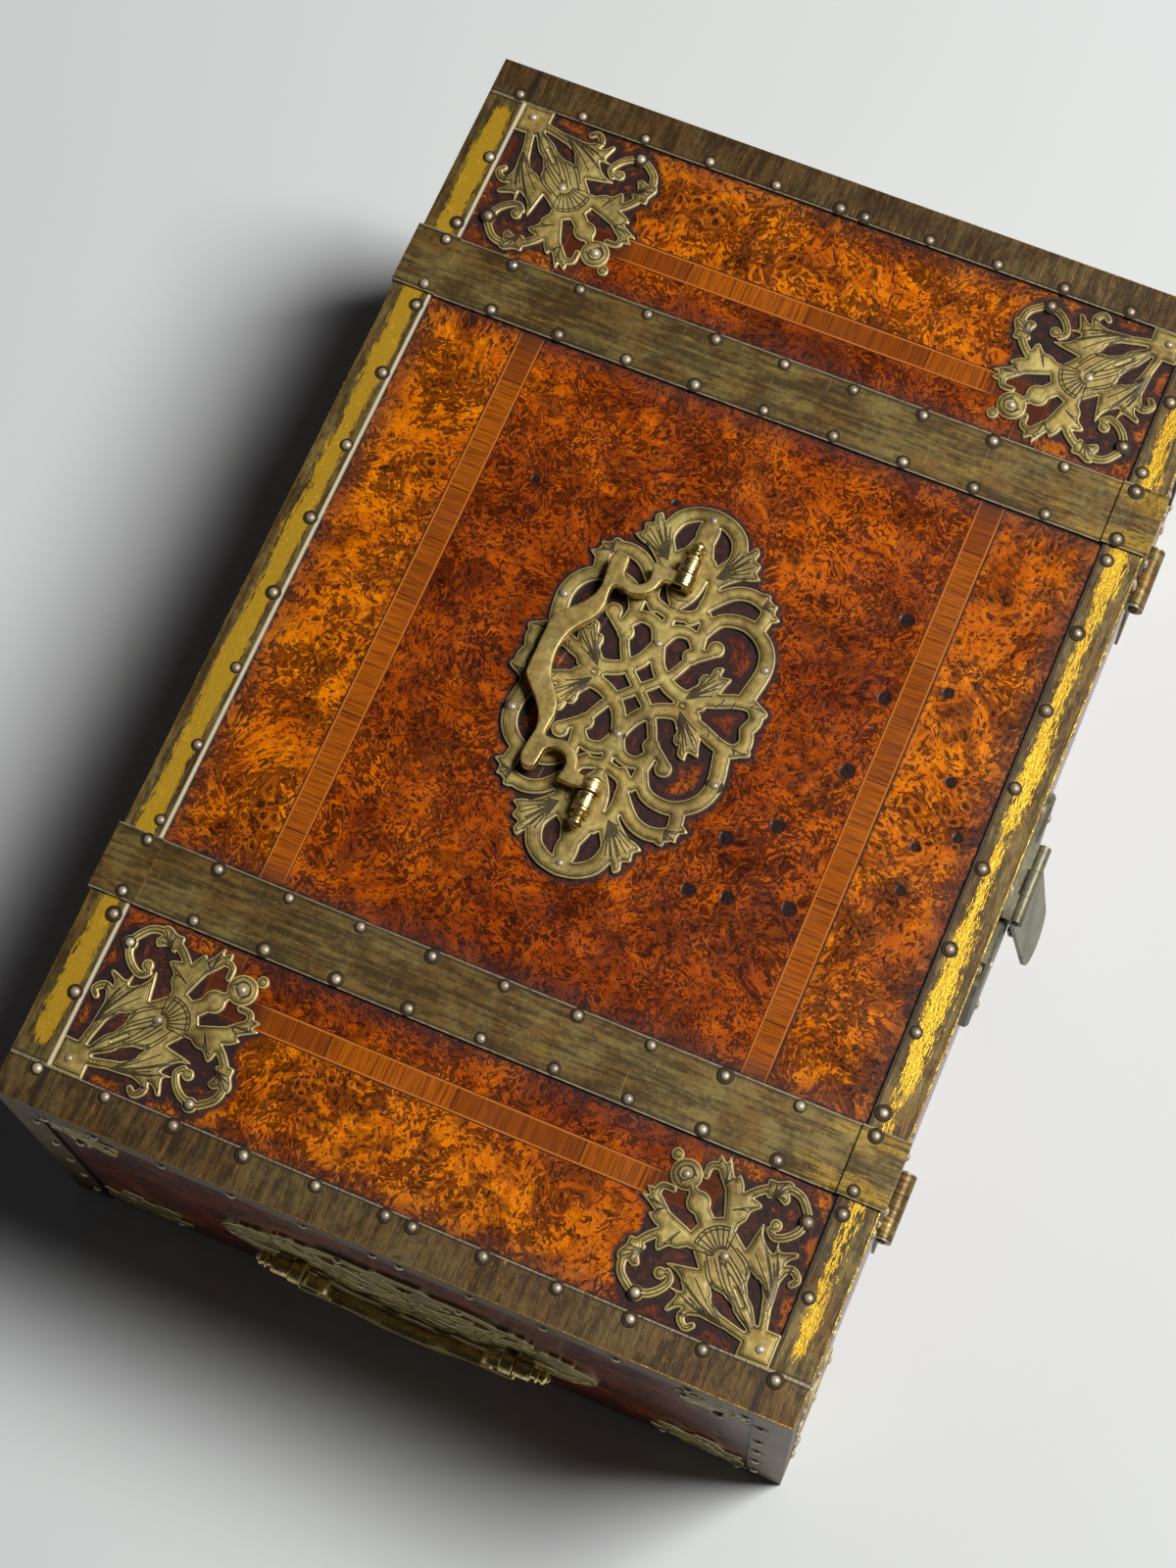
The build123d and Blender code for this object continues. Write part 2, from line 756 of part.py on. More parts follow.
def outline(wire):
    """Corners of a closed outline, without those that hardly turn it."""
    edges = wire.order_edges()
    corners = []
    for edge, following in zip(edges, edges[1:] + edges[:1]):
        start, end = edge @ 0, edge @ 1
        near_start = min((start - following @ 0).length, (start - following @ 1).length)
        near_end = min((end - following @ 0).length, (end - following @ 1).length)
        corners.append(start if near_start < near_end else end)
    reach = [(corner - corners[0]).length for corner in corners]
    opposite = reach.index(max(reach))
    thinned = kept(corners[: opposite + 1]) + kept(corners[opposite:] + corners[:1])
    return [(corner.X, corner.Y) for corner in thinned]


def thinned_face(sketch):
    """The same face with plainer outlines, and without its smallest openings."""
    shape = sketch.faces()[0]
    openings = [wire for wire in shape.inner_wires() if Face(wire).area > least_opening]
    with BuildSketch(Plane.XY) as flat:
        Polygon(*outline(shape.outer_wire()), align=None)
        for wire in openings:
            Polygon(*outline(wire), align=None, mode=Mode.SUBTRACT)
    return flat.sketch


def mount_face(shapes):
    """Face of a corner mount: its origin is the corner, and it mirrors about the diagonal."""
    with BuildSketch(Plane.XY) as flat:
        Rectangle(corner_foot, corner_foot, align=(Align.MIN, Align.MIN))
        for shape in shapes:
            Polygon(*shape, align=None)
            Polygon(*[(b, a) for a, b in shape], align=None)
    return thinned_face(flat.sketch)


corner_shapes = [ribbon(*each) for each in corner_ribbons] + corner_leaves
corner_shapes += [knob(*each) for each in corner_knobs] + [shell()]
corner_face = mount_face(corner_shapes)
for y_side, y_name in ((-1, "front"), (1, "back")):
    for x_side, x_name in ((-1, "left"), (1, "right")):
        # The first axis turns with the corner, so that both axes run inwards
        along = (-x_side, 0, 0) if x_side == y_side else (0, -y_side, 0)
        corner = (x_side * x_field, y_side * y_field, z_veneer)
        place = Plane(origin=corner, x_dir=along, z_dir=(0, 0, 1)).location
        with BuildPart() as mount:
            extrude(corner_face.moved(place), amount=mount_thickness)
        save(mount, f"lid_{y_name}_{x_name}_mount")

# Smaller mounts of the same kind, beside the corner straps of the lid and above the foot
small_leaf = [(0, 0), (26, 4), (39, 4), (36, 13), (55, 20), (57, 31), (47, 35), (52, 52)]
small_opening = [(16, 9), (27, 14), (28, 22)]


def small_mount_face(scale):
    """Plainer corner mount: one leafy outline, with an opening on each side of its stem."""
    outline = [(a * scale, b * scale) for a, b in small_leaf]
    opening = [(a * scale, b * scale) for a, b in small_opening]
    with BuildSketch(Plane.XY) as flat:
        Polygon(*outline, *[(b, a) for a, b in reversed(outline[1:-1])], align=None)
        for hole in (opening, [(b, a) for a, b in opening]):
            Polygon(*hole, align=None, mode=Mode.SUBTRACT)
    return flat.sketch


def side_mounts(name, z, way, scale):
    """Mounts on all four sides, in the corners beside the corner straps."""
    small = small_mount_face(scale)
    x_near = x_strap - corner_strap_width
    y_near = y_strap - corner_strap_width
    with BuildPart() as mounts:
        for x_side in (-1, 1):
            for y_side in (-1, 1):
                on_side = (x_side * x_near, y_side * y_veneer, z), (0, y_side, 0), (-x_side, 0, 0)
                on_end = (x_side * x_veneer, y_side * y_near, z), (x_side, 0, 0), (0, -y_side, 0)
                for corner, outwards, inwards in (on_side, on_end):
                    # The first axis is upright where that keeps both axes inwards
                    upright = Vector(*outwards).cross(Vector(*inwards)).Z * way < 0
                    along = (0, 0, way) if upright else inwards
                    place = Plane(origin=corner, x_dir=along, z_dir=outwards).location
                    extrude(small.moved(place), amount=mount_thickness)
    save(mounts, name)


side_mounts("lid_side_mounts", z_fold, -1, side_mount_scale)
side_mounts("foot_mounts", 0, 1, foot_mount_scale)

# Handle plate: one quarter is drawn, and the other three mirror it
plate_ribbons = [
    ([(72.3, 0), (70.8, 6.5), (66.5, 11.8), (59, 13.6), (52, 10)], 5.2, 6.0),
    ([(66.5, 0), (62, 0), (52, 3.5), (42, 3.5), (35, 0)], 7.5, 4.0),
    ([(54, 5), (48, 9.5), (39, 10), (33.5, 8), (31, 1)], 5.0, 3.6),
    ([(39, 10), (46.5, 17), (48.6, 24.5), (45.5, 31.5), (38, 31)], 5.0, 4.6),
    ([(31, 7), (35, 12), (28, 13), (20, 14)], 3.0, 4.0),
    ([(28, 13), (35.5, 17.5), (37.3, 27), (32.5, 35.4), (24, 38.8), (12, 37)], 4.0, 5.6),
    ([(19, 0), (25.3, 3.6), (26, 10), (20, 14.5)], 5.0, 3.6),
    ([(19, 0), (11, 3), (6, 8), (3.4, 14), (3, 22)], 4.4, 6.0),
    ([(2.5, 15), (5.3, 25), (8.8, 34), (9.2, 40), (5, 43), (0, 41.5)], 5.0, 4.4),
    ([(0, 0), (8, 8), (18, 13)], 3.6, 2.6),
    ([(19, 0), (27, 0), (35, 0)], 4.4, 3.0),
    ([(18.6, 14), (22.8, 19.4)], 3.4, 3.0),
]
plate_leaves = [
    [(54, 9), (65.4, 14.7), (66.6, 20), (61, 20.6), (55, 24), (52.7, 19.9), (49.8, 14.7), (45.6, 10)],
    [(50, 27), (48.6, 31.6), (46.6, 33), (43, 36.6), (41, 31)],
    [(2, 13), (9, 18.5), (14, 20), (18.6, 25.6), (14.6, 26.4), (15.2, 30), (8, 27), (3, 21)],
    [(12, 36), (11, 41.6), (8.4, 46.8), (5, 43)],
]
plate_knobs = [(24.5, 19.8, 3.4), (18.4, 12.6, 3.4)]
with BuildSketch(Plane.XY) as plate_sketch:
    shapes = [ribbon(*each) for each in plate_ribbons] + plate_leaves
    shapes += [knob(*each) for each in plate_knobs]
    for shape in shapes:
        for x_side in (-1, 1):
            for y_side in (-1, 1):
                Polygon(*[(x_side * x, y_side * y) for x, y in shape], align=None)
plate_face = thinned_face(plate_sketch.sketch)


def handle_plate(name, plane):
    """Pierced oval plate under a bail, with square holes for the tails of the posts."""
    with BuildPart() as plate:
        extrude(plate_face.moved(plane.location), amount=handle_plate_thickness)
        for side in (-1, 1):
            hole = square(plane, (side * post_middle, 0), post_tail_width + 2 * pin_clearance)
            cut(hole, handle_plate_thickness)
    save(plate, name)


def handle_posts(name, plane):
    """Two turned posts that hold a bail between them."""
    axis_plane = Plane(
        origin=plane.origin + plane.z_dir * pivot_lift,
        x_dir=plane.x_dir,
        z_dir=-plane.y_dir,
    )
    with BuildPart() as posts:
        for side in (-1, 1):
            # The knob is turned about the pivot line: a drum and a tapered finial
            with BuildSketch(axis_plane):
                profile = [
                    (post_start, 0),
                    (post_start, post_radius),
                    (post_start + post_cylinder, post_radius),
                    (post_start + post_length, post_tip_radius),
                    (post_start + post_length, 0),
                ]
                Polygon(*[(side * u, w) for u, w in profile], align=None)
            revolve(axis=Axis(axis_plane.origin, axis_plane.x_dir))
        for side in (-1, 1):
            middle = (side * post_middle, 0)
            seat = plane.offset(handle_plate_thickness)
            rise = pivot_lift - handle_plate_thickness
            extrude(square(seat, middle, post_stem_width), amount=rise)
            extrude(square(seat, middle, post_tail_width), amount=-post_tail_depth)
        for side in (-1, 1):
            across = Plane(
                origin=axis_plane.origin + axis_plane.x_dir * side * post_start,
                x_dir=plane.y_dir,
                z_dir=plane.x_dir * side,
            )
            bore = journal_radius + journal_clearance
            cut(disc(across, (0, 0), bore), journal_length)
    save(posts, name)


def bail(name, plane):
    """Bail with scrolled arms; it rests along the plane's own y direction."""
    axis_plane = plane.offset(pivot_lift)
    with BuildPart() as handle:
        with BuildSketch(axis_plane.offset(-bail_thickness / 2)):
            with BuildLine():
                # From the collar up the outside, round the open eye and over the ball
                Polyline((collar_inner, 0), (collar_outer, 0), (collar_outer, 12.5), (39.5, 11.2))
                ThreePointArc((39.5, 11.2), (34.3, 16.2), (39.4, 20.8))
                Polyline((39.4, 20.8), (43.4, 21.4), (44.2, 25), (41, 27.4), (30, 26.4), (25, 27.4))
                Polyline((25, 27.4), (20.5, 30.2), (16, 34.6), (11.5, grip_top))
                Polyline((11.5, grip_top), (0, grip_top), (0, grip_under), (5, 30.8), (10, 28.9))
                Polyline((10, 28.9), (17, 23.9), (22, 22.3), (30.4, 22.8))
                ThreePointArc((30.4, 22.8), (30.6, 12.4), (collar_inner, 6.8))
                Line((collar_inner, 6.8), (collar_inner, 0))
            make_face()
            mirror(about=Plane.YZ)
        extrude(amount=bail_thickness)
        for side in (-1, 1):
            across = Plane(
                origin=axis_plane.origin + axis_plane.x_dir * side * collar_inner,
                x_dir=plane.y_dir,
                z_dir=plane.x_dir * side,
            )
            collar = collar_outer - collar_inner
            extrude(disc(across, (0, 0), collar_radius), amount=collar)
            extrude(disc(across, (0, 0), journal_radius), amount=collar + post_gap + journal_length - 1)
    save(handle, name)


handle_sets = [("lid", lid_handle_plane), ("left", end_handle_plane(-1)), ("right", end_handle_plane(1))]
for name, plane in handle_sets:
    handle_plate(f"{name}_handle_plate", plane)
    handle_posts(f"{name}_handle_posts", plane)
    bail(f"{name}_bail", plane)
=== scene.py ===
# %% [markdown]
# # A strongbox in burl veneer, brass straps and pierced mounts
#
# The wooden boards, the straps, the hinges and the lock come from the imported CAD model and are
# never moved here. This lesson dresses them: it gives every piece a procedural finish, replaces
# the flat pierced mounts with chiselled ones, turns the handle posts, drives the nails and sets
# the lamp and camera for a photograph. Lengths are metres unless a name ends in _mm.

# %% Load the imported model
from functools import reduce
from math import ceil, cos, pi, radians, sin, sqrt

import bpy
import numpy as np
from mathutils import Matrix, Vector, geometry, kdtree


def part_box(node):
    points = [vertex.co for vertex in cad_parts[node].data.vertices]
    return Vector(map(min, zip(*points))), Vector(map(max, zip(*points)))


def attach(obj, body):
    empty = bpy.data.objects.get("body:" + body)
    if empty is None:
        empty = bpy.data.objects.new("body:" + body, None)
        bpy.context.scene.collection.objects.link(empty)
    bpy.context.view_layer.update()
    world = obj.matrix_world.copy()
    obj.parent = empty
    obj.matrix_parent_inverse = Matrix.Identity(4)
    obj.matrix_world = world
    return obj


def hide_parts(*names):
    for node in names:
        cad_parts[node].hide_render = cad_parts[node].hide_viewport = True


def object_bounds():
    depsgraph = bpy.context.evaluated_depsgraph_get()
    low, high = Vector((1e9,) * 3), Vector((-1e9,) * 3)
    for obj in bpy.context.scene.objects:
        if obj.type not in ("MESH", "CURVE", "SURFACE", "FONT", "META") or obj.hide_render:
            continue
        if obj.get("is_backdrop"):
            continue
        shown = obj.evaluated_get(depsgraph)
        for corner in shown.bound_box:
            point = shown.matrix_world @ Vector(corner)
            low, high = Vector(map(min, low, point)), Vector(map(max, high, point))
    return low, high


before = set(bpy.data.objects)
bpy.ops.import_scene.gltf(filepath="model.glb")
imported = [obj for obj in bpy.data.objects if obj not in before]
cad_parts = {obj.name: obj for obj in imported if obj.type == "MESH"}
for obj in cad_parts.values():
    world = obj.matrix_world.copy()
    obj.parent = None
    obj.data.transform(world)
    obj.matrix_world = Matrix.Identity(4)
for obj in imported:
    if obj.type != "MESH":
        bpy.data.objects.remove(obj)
cad_low, cad_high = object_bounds()
mm = 0.001

# %% [markdown]
# ## Places that the finishes and the nails share
#
# The CAD nodes say where the straps and faces are. Reading them from the boxes of the nodes, in
# place of typing them again, keeps every pattern on its strap if the part is rebuilt.

# %% Measure the straps and the veneered faces
front_low, front_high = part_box("lid_front_edge_strap")
field_low, field_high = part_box("lid_field_veneer")
border_low, border_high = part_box("lid_border_veneer")
strap_low, strap_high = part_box("right_cross_strap")
plate_low, plate_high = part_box("lid_handle_plate")
end_plate_low, end_plate_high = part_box("right_handle_plate")
x_out = front_high.x
y_out = -front_low.y
x_field = x_out - (front_high.y - front_low.y)
y_field = -front_high.y
z_lid = front_high.z
z_veneer = border_high.z
cross_inner, cross_outer = strap_low.x, strap_high.x
cross_middle, cross_half = (cross_inner + cross_outer) / 2, (cross_outer - cross_inner) / 2
z_end_handle = (end_plate_low.z + end_plate_high.z) / 2
x_end_face = end_plate_low.x
y_side_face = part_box("chest_front_veneer")[0].y
corner_strap, rim_strap = 14 * mm, 16 * mm
print("lid field", round(x_field, 4), round(y_field, 4), "veneer at", round(z_veneer, 4))

# %% [markdown]
# ## Small helpers for node trees
#
# Every finish below is a tree of noise, thresholds and colour mixes. Each helper adds a node to
# the tree at work and returns its output as a wire. Wires can be reckoned with like numbers:
# subtracting one from another adds the node that subtracts, so a recipe reads like a formula.


# %% Wires, and helpers that add one node
class Work:
    """Holds the node tree that the helpers add to."""

    tree = None


class Wire:
    """An output of a node, with the arithmetic of a number."""

    def __init__(self, socket):
        self.socket = socket

    def __add__(self, other):
        return number("ADD", self, other)

    def __sub__(self, other):
        return number("SUBTRACT", self, other)

    def __rsub__(self, other):
        return number("SUBTRACT", other, self)

    def __mul__(self, other):
        return number("MULTIPLY", self, other)

    def __truediv__(self, other):
        return number("DIVIDE", self, other)

    def __abs__(self):
        return number("ABSOLUTE", self)


def feed(socket, value):
    """Links an output to an input, or sets the input's own value."""
    value = getattr(value, "socket", value)
    if isinstance(value, bpy.types.NodeSocket):
        Work.tree.links.new(value, socket)
    else:
        is_colour = socket.type == "RGBA"
        socket.default_value = (*value, 1) if is_colour else value


def fill(node, **values):
    """Feeds the inputs of a node by their names."""
    for name, value in values.items():
        feed(node.inputs[name.replace("_", " ")], value)


def put(kind, settings=None, **values):
    """Adds a node. Settings go to its properties, values or outputs to its inputs."""
    node = Work.tree.nodes.new(kind)
    for name, value in (settings or {}).items():
        setattr(node, name, value)
    fill(node, **values)
    return node


def in_order(node, *values):
    """Feeds the inputs of a node in their order."""
    for socket, value in zip(node.inputs, values):
        feed(socket, value)
    return Wire(node.outputs[0])


def number(operation, *values):
    """One step of arithmetic."""
    return in_order(put("ShaderNodeMath", {"operation": operation}), *values)


def most(*values):
    """The largest of several values."""
    return reduce(lambda a, b: number("MAXIMUM", a, b), values)


def least(*values):
    """The smallest of several values."""
    return reduce(lambda a, b: number("MINIMUM", a, b), values)


def above(value, limit):
    """One where a value is above a limit, else zero."""
    return number("GREATER_THAN", value, limit)


def mixed(factor, first, second, mode="MIX"):
    """Mixes two colours."""
    node = put("ShaderNodeMix", {"data_type": "RGBA", "blend_type": mode})
    for index, value in ((0, factor), (6, first), (7, second)):
        feed(node.inputs[index], value)
    return Wire(node.outputs[2])


def tinted(colour, tint):
    """A colour multiplied by another."""
    return mixed(1.0, colour, tint, "MULTIPLY")


def choose(which, first, second):
    """The second value where which is one, else the first."""
    node = put("ShaderNodeMix", {"data_type": "FLOAT"})
    for index, value in ((0, which), (2, first), (3, second)):
        feed(node.inputs[index], value)
    return Wire(node.outputs[0])


def fade(value, low, high, start=0.0, end=1.0):
    """Smooth step of a value from low to high."""
    node = put("ShaderNodeMapRange", {"interpolation_type": "SMOOTHSTEP"})
    return in_order(node, value, low, high, start, end)


def here():
    """Object coordinates."""
    return put("ShaderNodeTexCoord").outputs["Object"]


def attribute(name):
    """A number that the mesh stores at each point."""
    return Wire(put("ShaderNodeAttribute", {"attribute_name": name}).outputs["Fac"])


def noise(vector, scale, detail=4.0, roughness=0.55, distortion=0.0, seed=0.0):
    """Value of a noise, round one half."""
    node = put("ShaderNodeTexNoise", {"noise_dimensions": "4D"}, Vector=vector, Scale=scale)
    fill(node, Detail=detail, Roughness=roughness, Distortion=distortion, W=seed)
    return Wire(node.outputs["Fac"])


def cells(vector, scale):
    """Distance from the nearest of many scattered points."""
    node = put("ShaderNodeTexVoronoi", {"feature": "F1"}, Vector=vector, Scale=scale)
    return Wire(node.outputs["Distance"])


def spot(where, middle, radius, soft):
    """One inside a round spot, and nothing outside it."""
    gap = put("ShaderNodeVectorMath", {"operation": "DISTANCE"})
    in_order(gap, where, middle)
    return fade(gap.outputs["Value"], radius + soft, radius - soft)


def stretched(scale, rotation=(0, 0, 0)):
    """Object coordinates, turned and squeezed to give a pattern a grain."""
    node = put("ShaderNodeMapping", Vector=here(), Rotation=rotation, Scale=scale)
    return node.outputs[0]


def nudged(place, scale, reach):
    """Moves each point a little, so that a pattern read there is bent."""
    push = put("ShaderNodeTexNoise", Vector=place, Scale=scale, Detail=3.0).outputs["Color"]
    node = put("ShaderNodeVectorMath", {"operation": "MULTIPLY_ADD"})
    return in_order(node, push, (reach, reach, reach), place)


def axes(vector):
    """The three parts of a vector."""
    return [Wire(part) for part in put("ShaderNodeSeparateXYZ", Vector=vector).outputs]


# %% Helpers that begin and end a finish
COLOUR, VALUE = "NodeSocketColor", "NodeSocketFloat"
finishes = {}


def wires(node):
    """The outputs of a node by name."""
    return {output.name: Wire(output) for output in node.outputs}


def effect(name, inputs, outputs):
    """An empty node group with named inputs and outputs, which becomes the tree at work."""
    group = Work.tree = bpy.data.node_groups.new(name, "ShaderNodeTree")
    for label, value in inputs.items():
        is_colour = isinstance(value, tuple)
        kind = COLOUR if is_colour else VALUE
        socket = group.interface.new_socket(name=label, in_out="INPUT", socket_type=kind)
        socket.default_value = (*value, 1) if is_colour else value
    for label, kind in outputs.items():
        group.interface.new_socket(name=label, in_out="OUTPUT", socket_type=kind)
    given = wires(group.nodes.new("NodeGroupInput"))
    return group, given, group.nodes.new("NodeGroupOutput")


def use(group, **values):
    """Places a node group in the tree at work."""
    node = Work.tree.nodes.new("ShaderNodeGroup")
    node.node_tree = group
    fill(node, **values)
    return wires(node)


def finish(name, **constants):
    """Begins a material and returns its shader; constants go to the shader's own sockets."""
    placeholder = bpy.data.materials.get(name)
    if placeholder:
        placeholder.name = "plain_" + name
    finishes[name] = material = bpy.data.materials.new(name)
    material.use_nodes = True
    Work.tree = material.node_tree
    shader = Work.tree.nodes["Principled BSDF"]
    fill(shader, **constants)
    return shader


def relief(shader, height, depth):
    """Feeds a height to the shader as a bump, with its depth in metres."""
    node = put("ShaderNodeBump", Strength=1.0, Distance=depth, Height=height)
    Work.tree.links.new(node.outputs[0], shader.inputs["Normal"])


print("helpers ready")

# %% [markdown]
# ## Wax, dirt and painted shade in the corners
#
# Two centuries of waxing leave a dark line wherever a cloth can't reach: along every strap, and
# round every mount. The dark line and a broader darkening beside each strap are also painted
# shade, where the straps and mounts shade the veneer. On the lid that line follows the straps, so
# it can be measured straight from the coordinates. One group does it for all three veneers, and a
# little noise makes it ragged. Round the mounts the distance isn't a formula, so it comes as an
# attribute of the veneer.

# %% The margin of old wax and painted shade
def on_top(z):
    """One on the upper face of the lid, zero on the sides of the box."""
    return above(z, z_veneer - 0.8 * mm)


wax_and_shade_margin, given, result = effect("wax_and_shade_margin", {"Width": 0.002}, {"Wax": VALUE})
place = here()
x, y, z = axes(place)
x, y = abs(x), abs(y)
near = least(x_field - x, y_field - y, abs(x - cross_middle) - cross_half)
# On the sides of the box the corner straps and the rim of the lid take their place
beside_corner = most(x_out - corner_strap - x, y_out - corner_strap - y)
on_side = least(beside_corner, z_lid - rim_strap - z)
near = choose(on_top(z), on_side, near)
ragged = noise(place, 260.0, 5.0, 0.65)
near = near - (ragged - 0.5) * (6 * mm)
# Painted shade and old wax: a dark line at each strap's edge, and a broader darkening within 12 mm
line = fade(near / given["Width"], 1.15, 0.1)
shade = fade(near, 12 * mm, 0.0, 0.0, 0.55)
# Painted shade and old wax round the mounts, read from the veneer's attribute
mount = attribute("wax") * fade(ragged, 0.2, 0.5, 0.75, 1.0)
fill(result, Wax=most(line, shade, mount))

# %% [markdown]
# ## Burl figure
#
# Burl is cut from a knotty outgrowth, so its grain has no direction: it curls round hundreds of
# tiny buds, which show as dark eyes with pale rims. The recipe has four layers: a flame of light
# and dark made by a noise that is bent by another noise, thin dark dashes where a fine noise
# crosses its middle, clusters of eyes from cell distances, and a slow drift of tone.

# %% The burl group
burl_figure, given, result = effect(
    "burl_figure",
    {
        "Light": (0.8, 0.3, 0.05), "Middle": (0.5, 0.13, 0.02), "Dark": (0.06, 0.012, 0.005),
        "Eyes": 0.5, "Depth": 0.5, "Dashes": 0.5,
    },
    {"Color": COLOUR, "Height": VALUE},
)
place = here()
curled = nudged(nudged(place, 22.0, 0.03), 95.0, 0.006)
flame = noise(curled, 55.0, 5.0, 0.65, 1.0)
drift = noise(place, 14.0, 2.0, 0.5, 0.4, 3.0)
light = flame + (drift - 0.5) * 0.4
colour = mixed(fade(light, 0.34, 0.66), given["Middle"], given["Light"])
# Streaks of dark between the clusters
fold = noise(curled, 62.0, 4.0, 0.62, 0.7, 12.0)
fold = fade(fold, 0.5, 0.62) * given["Depth"]
colour = mixed(fold * 0.85, colour, given["Dark"])
# Small blots and thin wriggling dashes: both crowd where a slow noise is high
crowd = noise(place, 52.0, 3.0, 0.6, 0.9, 5.0)
crowd = fade(crowd, 0.4, 0.6, 0.15, 1.0) * given["Depth"]
blot = fade(noise(curled, 390.0, 2.0, 0.6, 1.5, 7.0) + crowd * 0.17, 0.58, 0.6)
dash = abs(noise(curled, 270.0, 2.0, 0.5, 1.8, 2.0) - 0.5)
broken = fade(noise(place, 330.0, 1.0, 0.5, 0.0, 21.0), 0.42, 0.5)
dash = fade(dash, 0.05, 0.026) * broken * given["Dashes"]
marks = most(dash, blot)
colour = mixed(marks * 0.9, colour, given["Dark"])
# Eyes: a dark pip, a pale rim and a dark outline
pip = cells(curled, 175.0)
bunched = fade(noise(place, 30.0, 2.0, 0.6, 0.5, 9.0), 0.46, 0.6) * given["Eyes"]
rim = fade(abs(pip - 0.36), 0.1, 0.02) * bunched
colour = mixed(rim * 0.35, colour, given["Light"])
centre = fade(pip, 0.27, 0.17) * bunched
colour = mixed(centre, colour, given["Dark"])
silk = noise(curled, 620.0, 3.0, 0.6, 1.2)
colour = mixed(fade(silk, 0.42, 0.58, 0.0, 0.38), colour, given["Middle"])
pores = most(centre, marks * 0.5)
fill(result, Color=colour, Height=silk * 0.3 - pores)
print("burl group has", len(burl_figure.nodes), "nodes")

# %% [markdown]
# ## Veneer finishes
#
# The border of the lid glows orange, and the middle field is an older, redder leaf with round
# dark plugs where pins once held something. Both are French-polished: a thin clear coat over
# the wood, a little uneven from the brush.

# %% Border veneer
# Colour of old wax and of painted shade in the margins beside straps and mounts
dark_wax_and_shade = (0.017, 0.008, 0.010)
polish = {"Coat_Weight": 0.2, "Coat_Roughness": 0.1, "Specular_IOR_Level": 0.25}
grain_depth, wax_and_shade_width = 0.05 * mm, 2.2 * mm


def lay_wax_and_shade(shader, colour, height):
    """Lays the margin of wax and painted shade over a veneer and feeds its colour and roughness."""
    wax = use(wax_and_shade_margin, Width=wax_and_shade_width)["Wax"]
    place = here()
    bloom = noise(place, 60.0, 5.0, 0.6, 0.3, 4.0)
    rough = fade(bloom, 0.3, 0.7, 0.24, 0.36) + wax * 0.25
    # Darkens the veneer with old wax and painted shade along the straps and round the mounts
    fill(shader, Base_Color=mixed(wax * 0.93, colour, dark_wax_and_shade), Roughness=rough)
    ripple = noise(place, 34.0, 2.0, 0.5, 0.0, 8.0)
    relief(shader, height + ripple * 3.5, grain_depth)


def plugged(colour, spots_mm):
    """Lays round dark plugs over a veneer; returns its colour and where the plugs are."""
    place = here()
    push = 0.8 * mm
    shaken = nudged(place, 300.0, 2 * push)
    holes, rims = 0.0, 0.0
    for x_mm, y_mm, radius_mm in spots_mm:
        middle = (x_mm * mm + push, y_mm * mm + push, z_veneer + push)
        holes = most(holes, spot(shaken, middle, radius_mm * mm, 0.35 * mm))
        rims = most(rims, spot(shaken, middle, (radius_mm + 0.6) * mm, 0.5 * mm))
    colour = mixed(rims * 0.6, colour, (0.09, 0.02, 0.008))
    dirt = noise(place, 900.0, 3.0, 0.6)
    filler = mixed(fade(dirt, 0.4, 0.6), (0.008, 0.004, 0.005), (0.03, 0.015, 0.014))
    return mixed(holes * 0.96, colour, filler), holes


border_plugs_mm = [
    (41, -102, 2.2), (-34, -113, 1.9), (-17, -112, 1.9), (10, -115, 2.1), (-8.4, -124.5, 1.8),
]
shader = finish("burl_veneer", **polish)
figure = use(
    burl_figure, Light=(1.0, 0.275, 0.0), Middle=(0.56, 0.105, 0.0), Dark=(0.016, 0.003, 0.001),
    Eyes=0.95, Depth=1.0, Dashes=0.55,
)
# Painted shade: the sides of the box are darkened to a red brown against the top
x, y, z = axes(here())
sides_in_painted_shade = tinted(figure["Color"], (0.38, 0.22, 0.6))
colour, holes = plugged(mixed(on_top(z), sides_in_painted_shade, figure["Color"]), border_plugs_mm)
lay_wax_and_shade(shader, colour, figure["Height"] - holes * 5.0)

# %% Middle field, with its plugs
shader = finish("field_veneer", **{**polish, "Coat_Weight": 0.22})
figure = use(
    burl_figure, Light=(0.8, 0.17, 0.0), Middle=(0.35, 0.052, 0.0), Dark=(0.016, 0.003, 0.001),
    Eyes=0.35, Depth=0.7, Dashes=0.95,
)
plugs_mm = [
    (-62, -45, 2.6), (-39.5, -50, 2.5), (-59.5, -58.6, 2.4), (-28.4, -65, 2.7), (-55, -80, 2.6),
    (0, -80, 2.7), (30.5, -82, 2.5), (61.4, -78.6, 2.6), (62, 67, 1.5), (72.5, 16, 1.3),
]
drift = fade(noise(here(), 16.0, 3.0, 0.6, 0.4, 11.0), 0.42, 0.6)
redder = mixed(drift, figure["Color"], tinted(figure["Color"], (0.74, 0.64, 0.6)))
colour, holes = plugged(redder, plugs_mm)
lay_wax_and_shade(shader, colour, figure["Height"] - holes * 5.0)
print("field veneer carries", len(plugs_mm), "plugs")

# %% [markdown]
# ## Crossbanding
#
# The light band between border and field is cut across the grain, in short lengths of slightly
# different tone, and edged with a thin dark and light line. The grain has to turn by a quarter
# at the mitres, so the recipe first asks which of the four strips a point lies on.

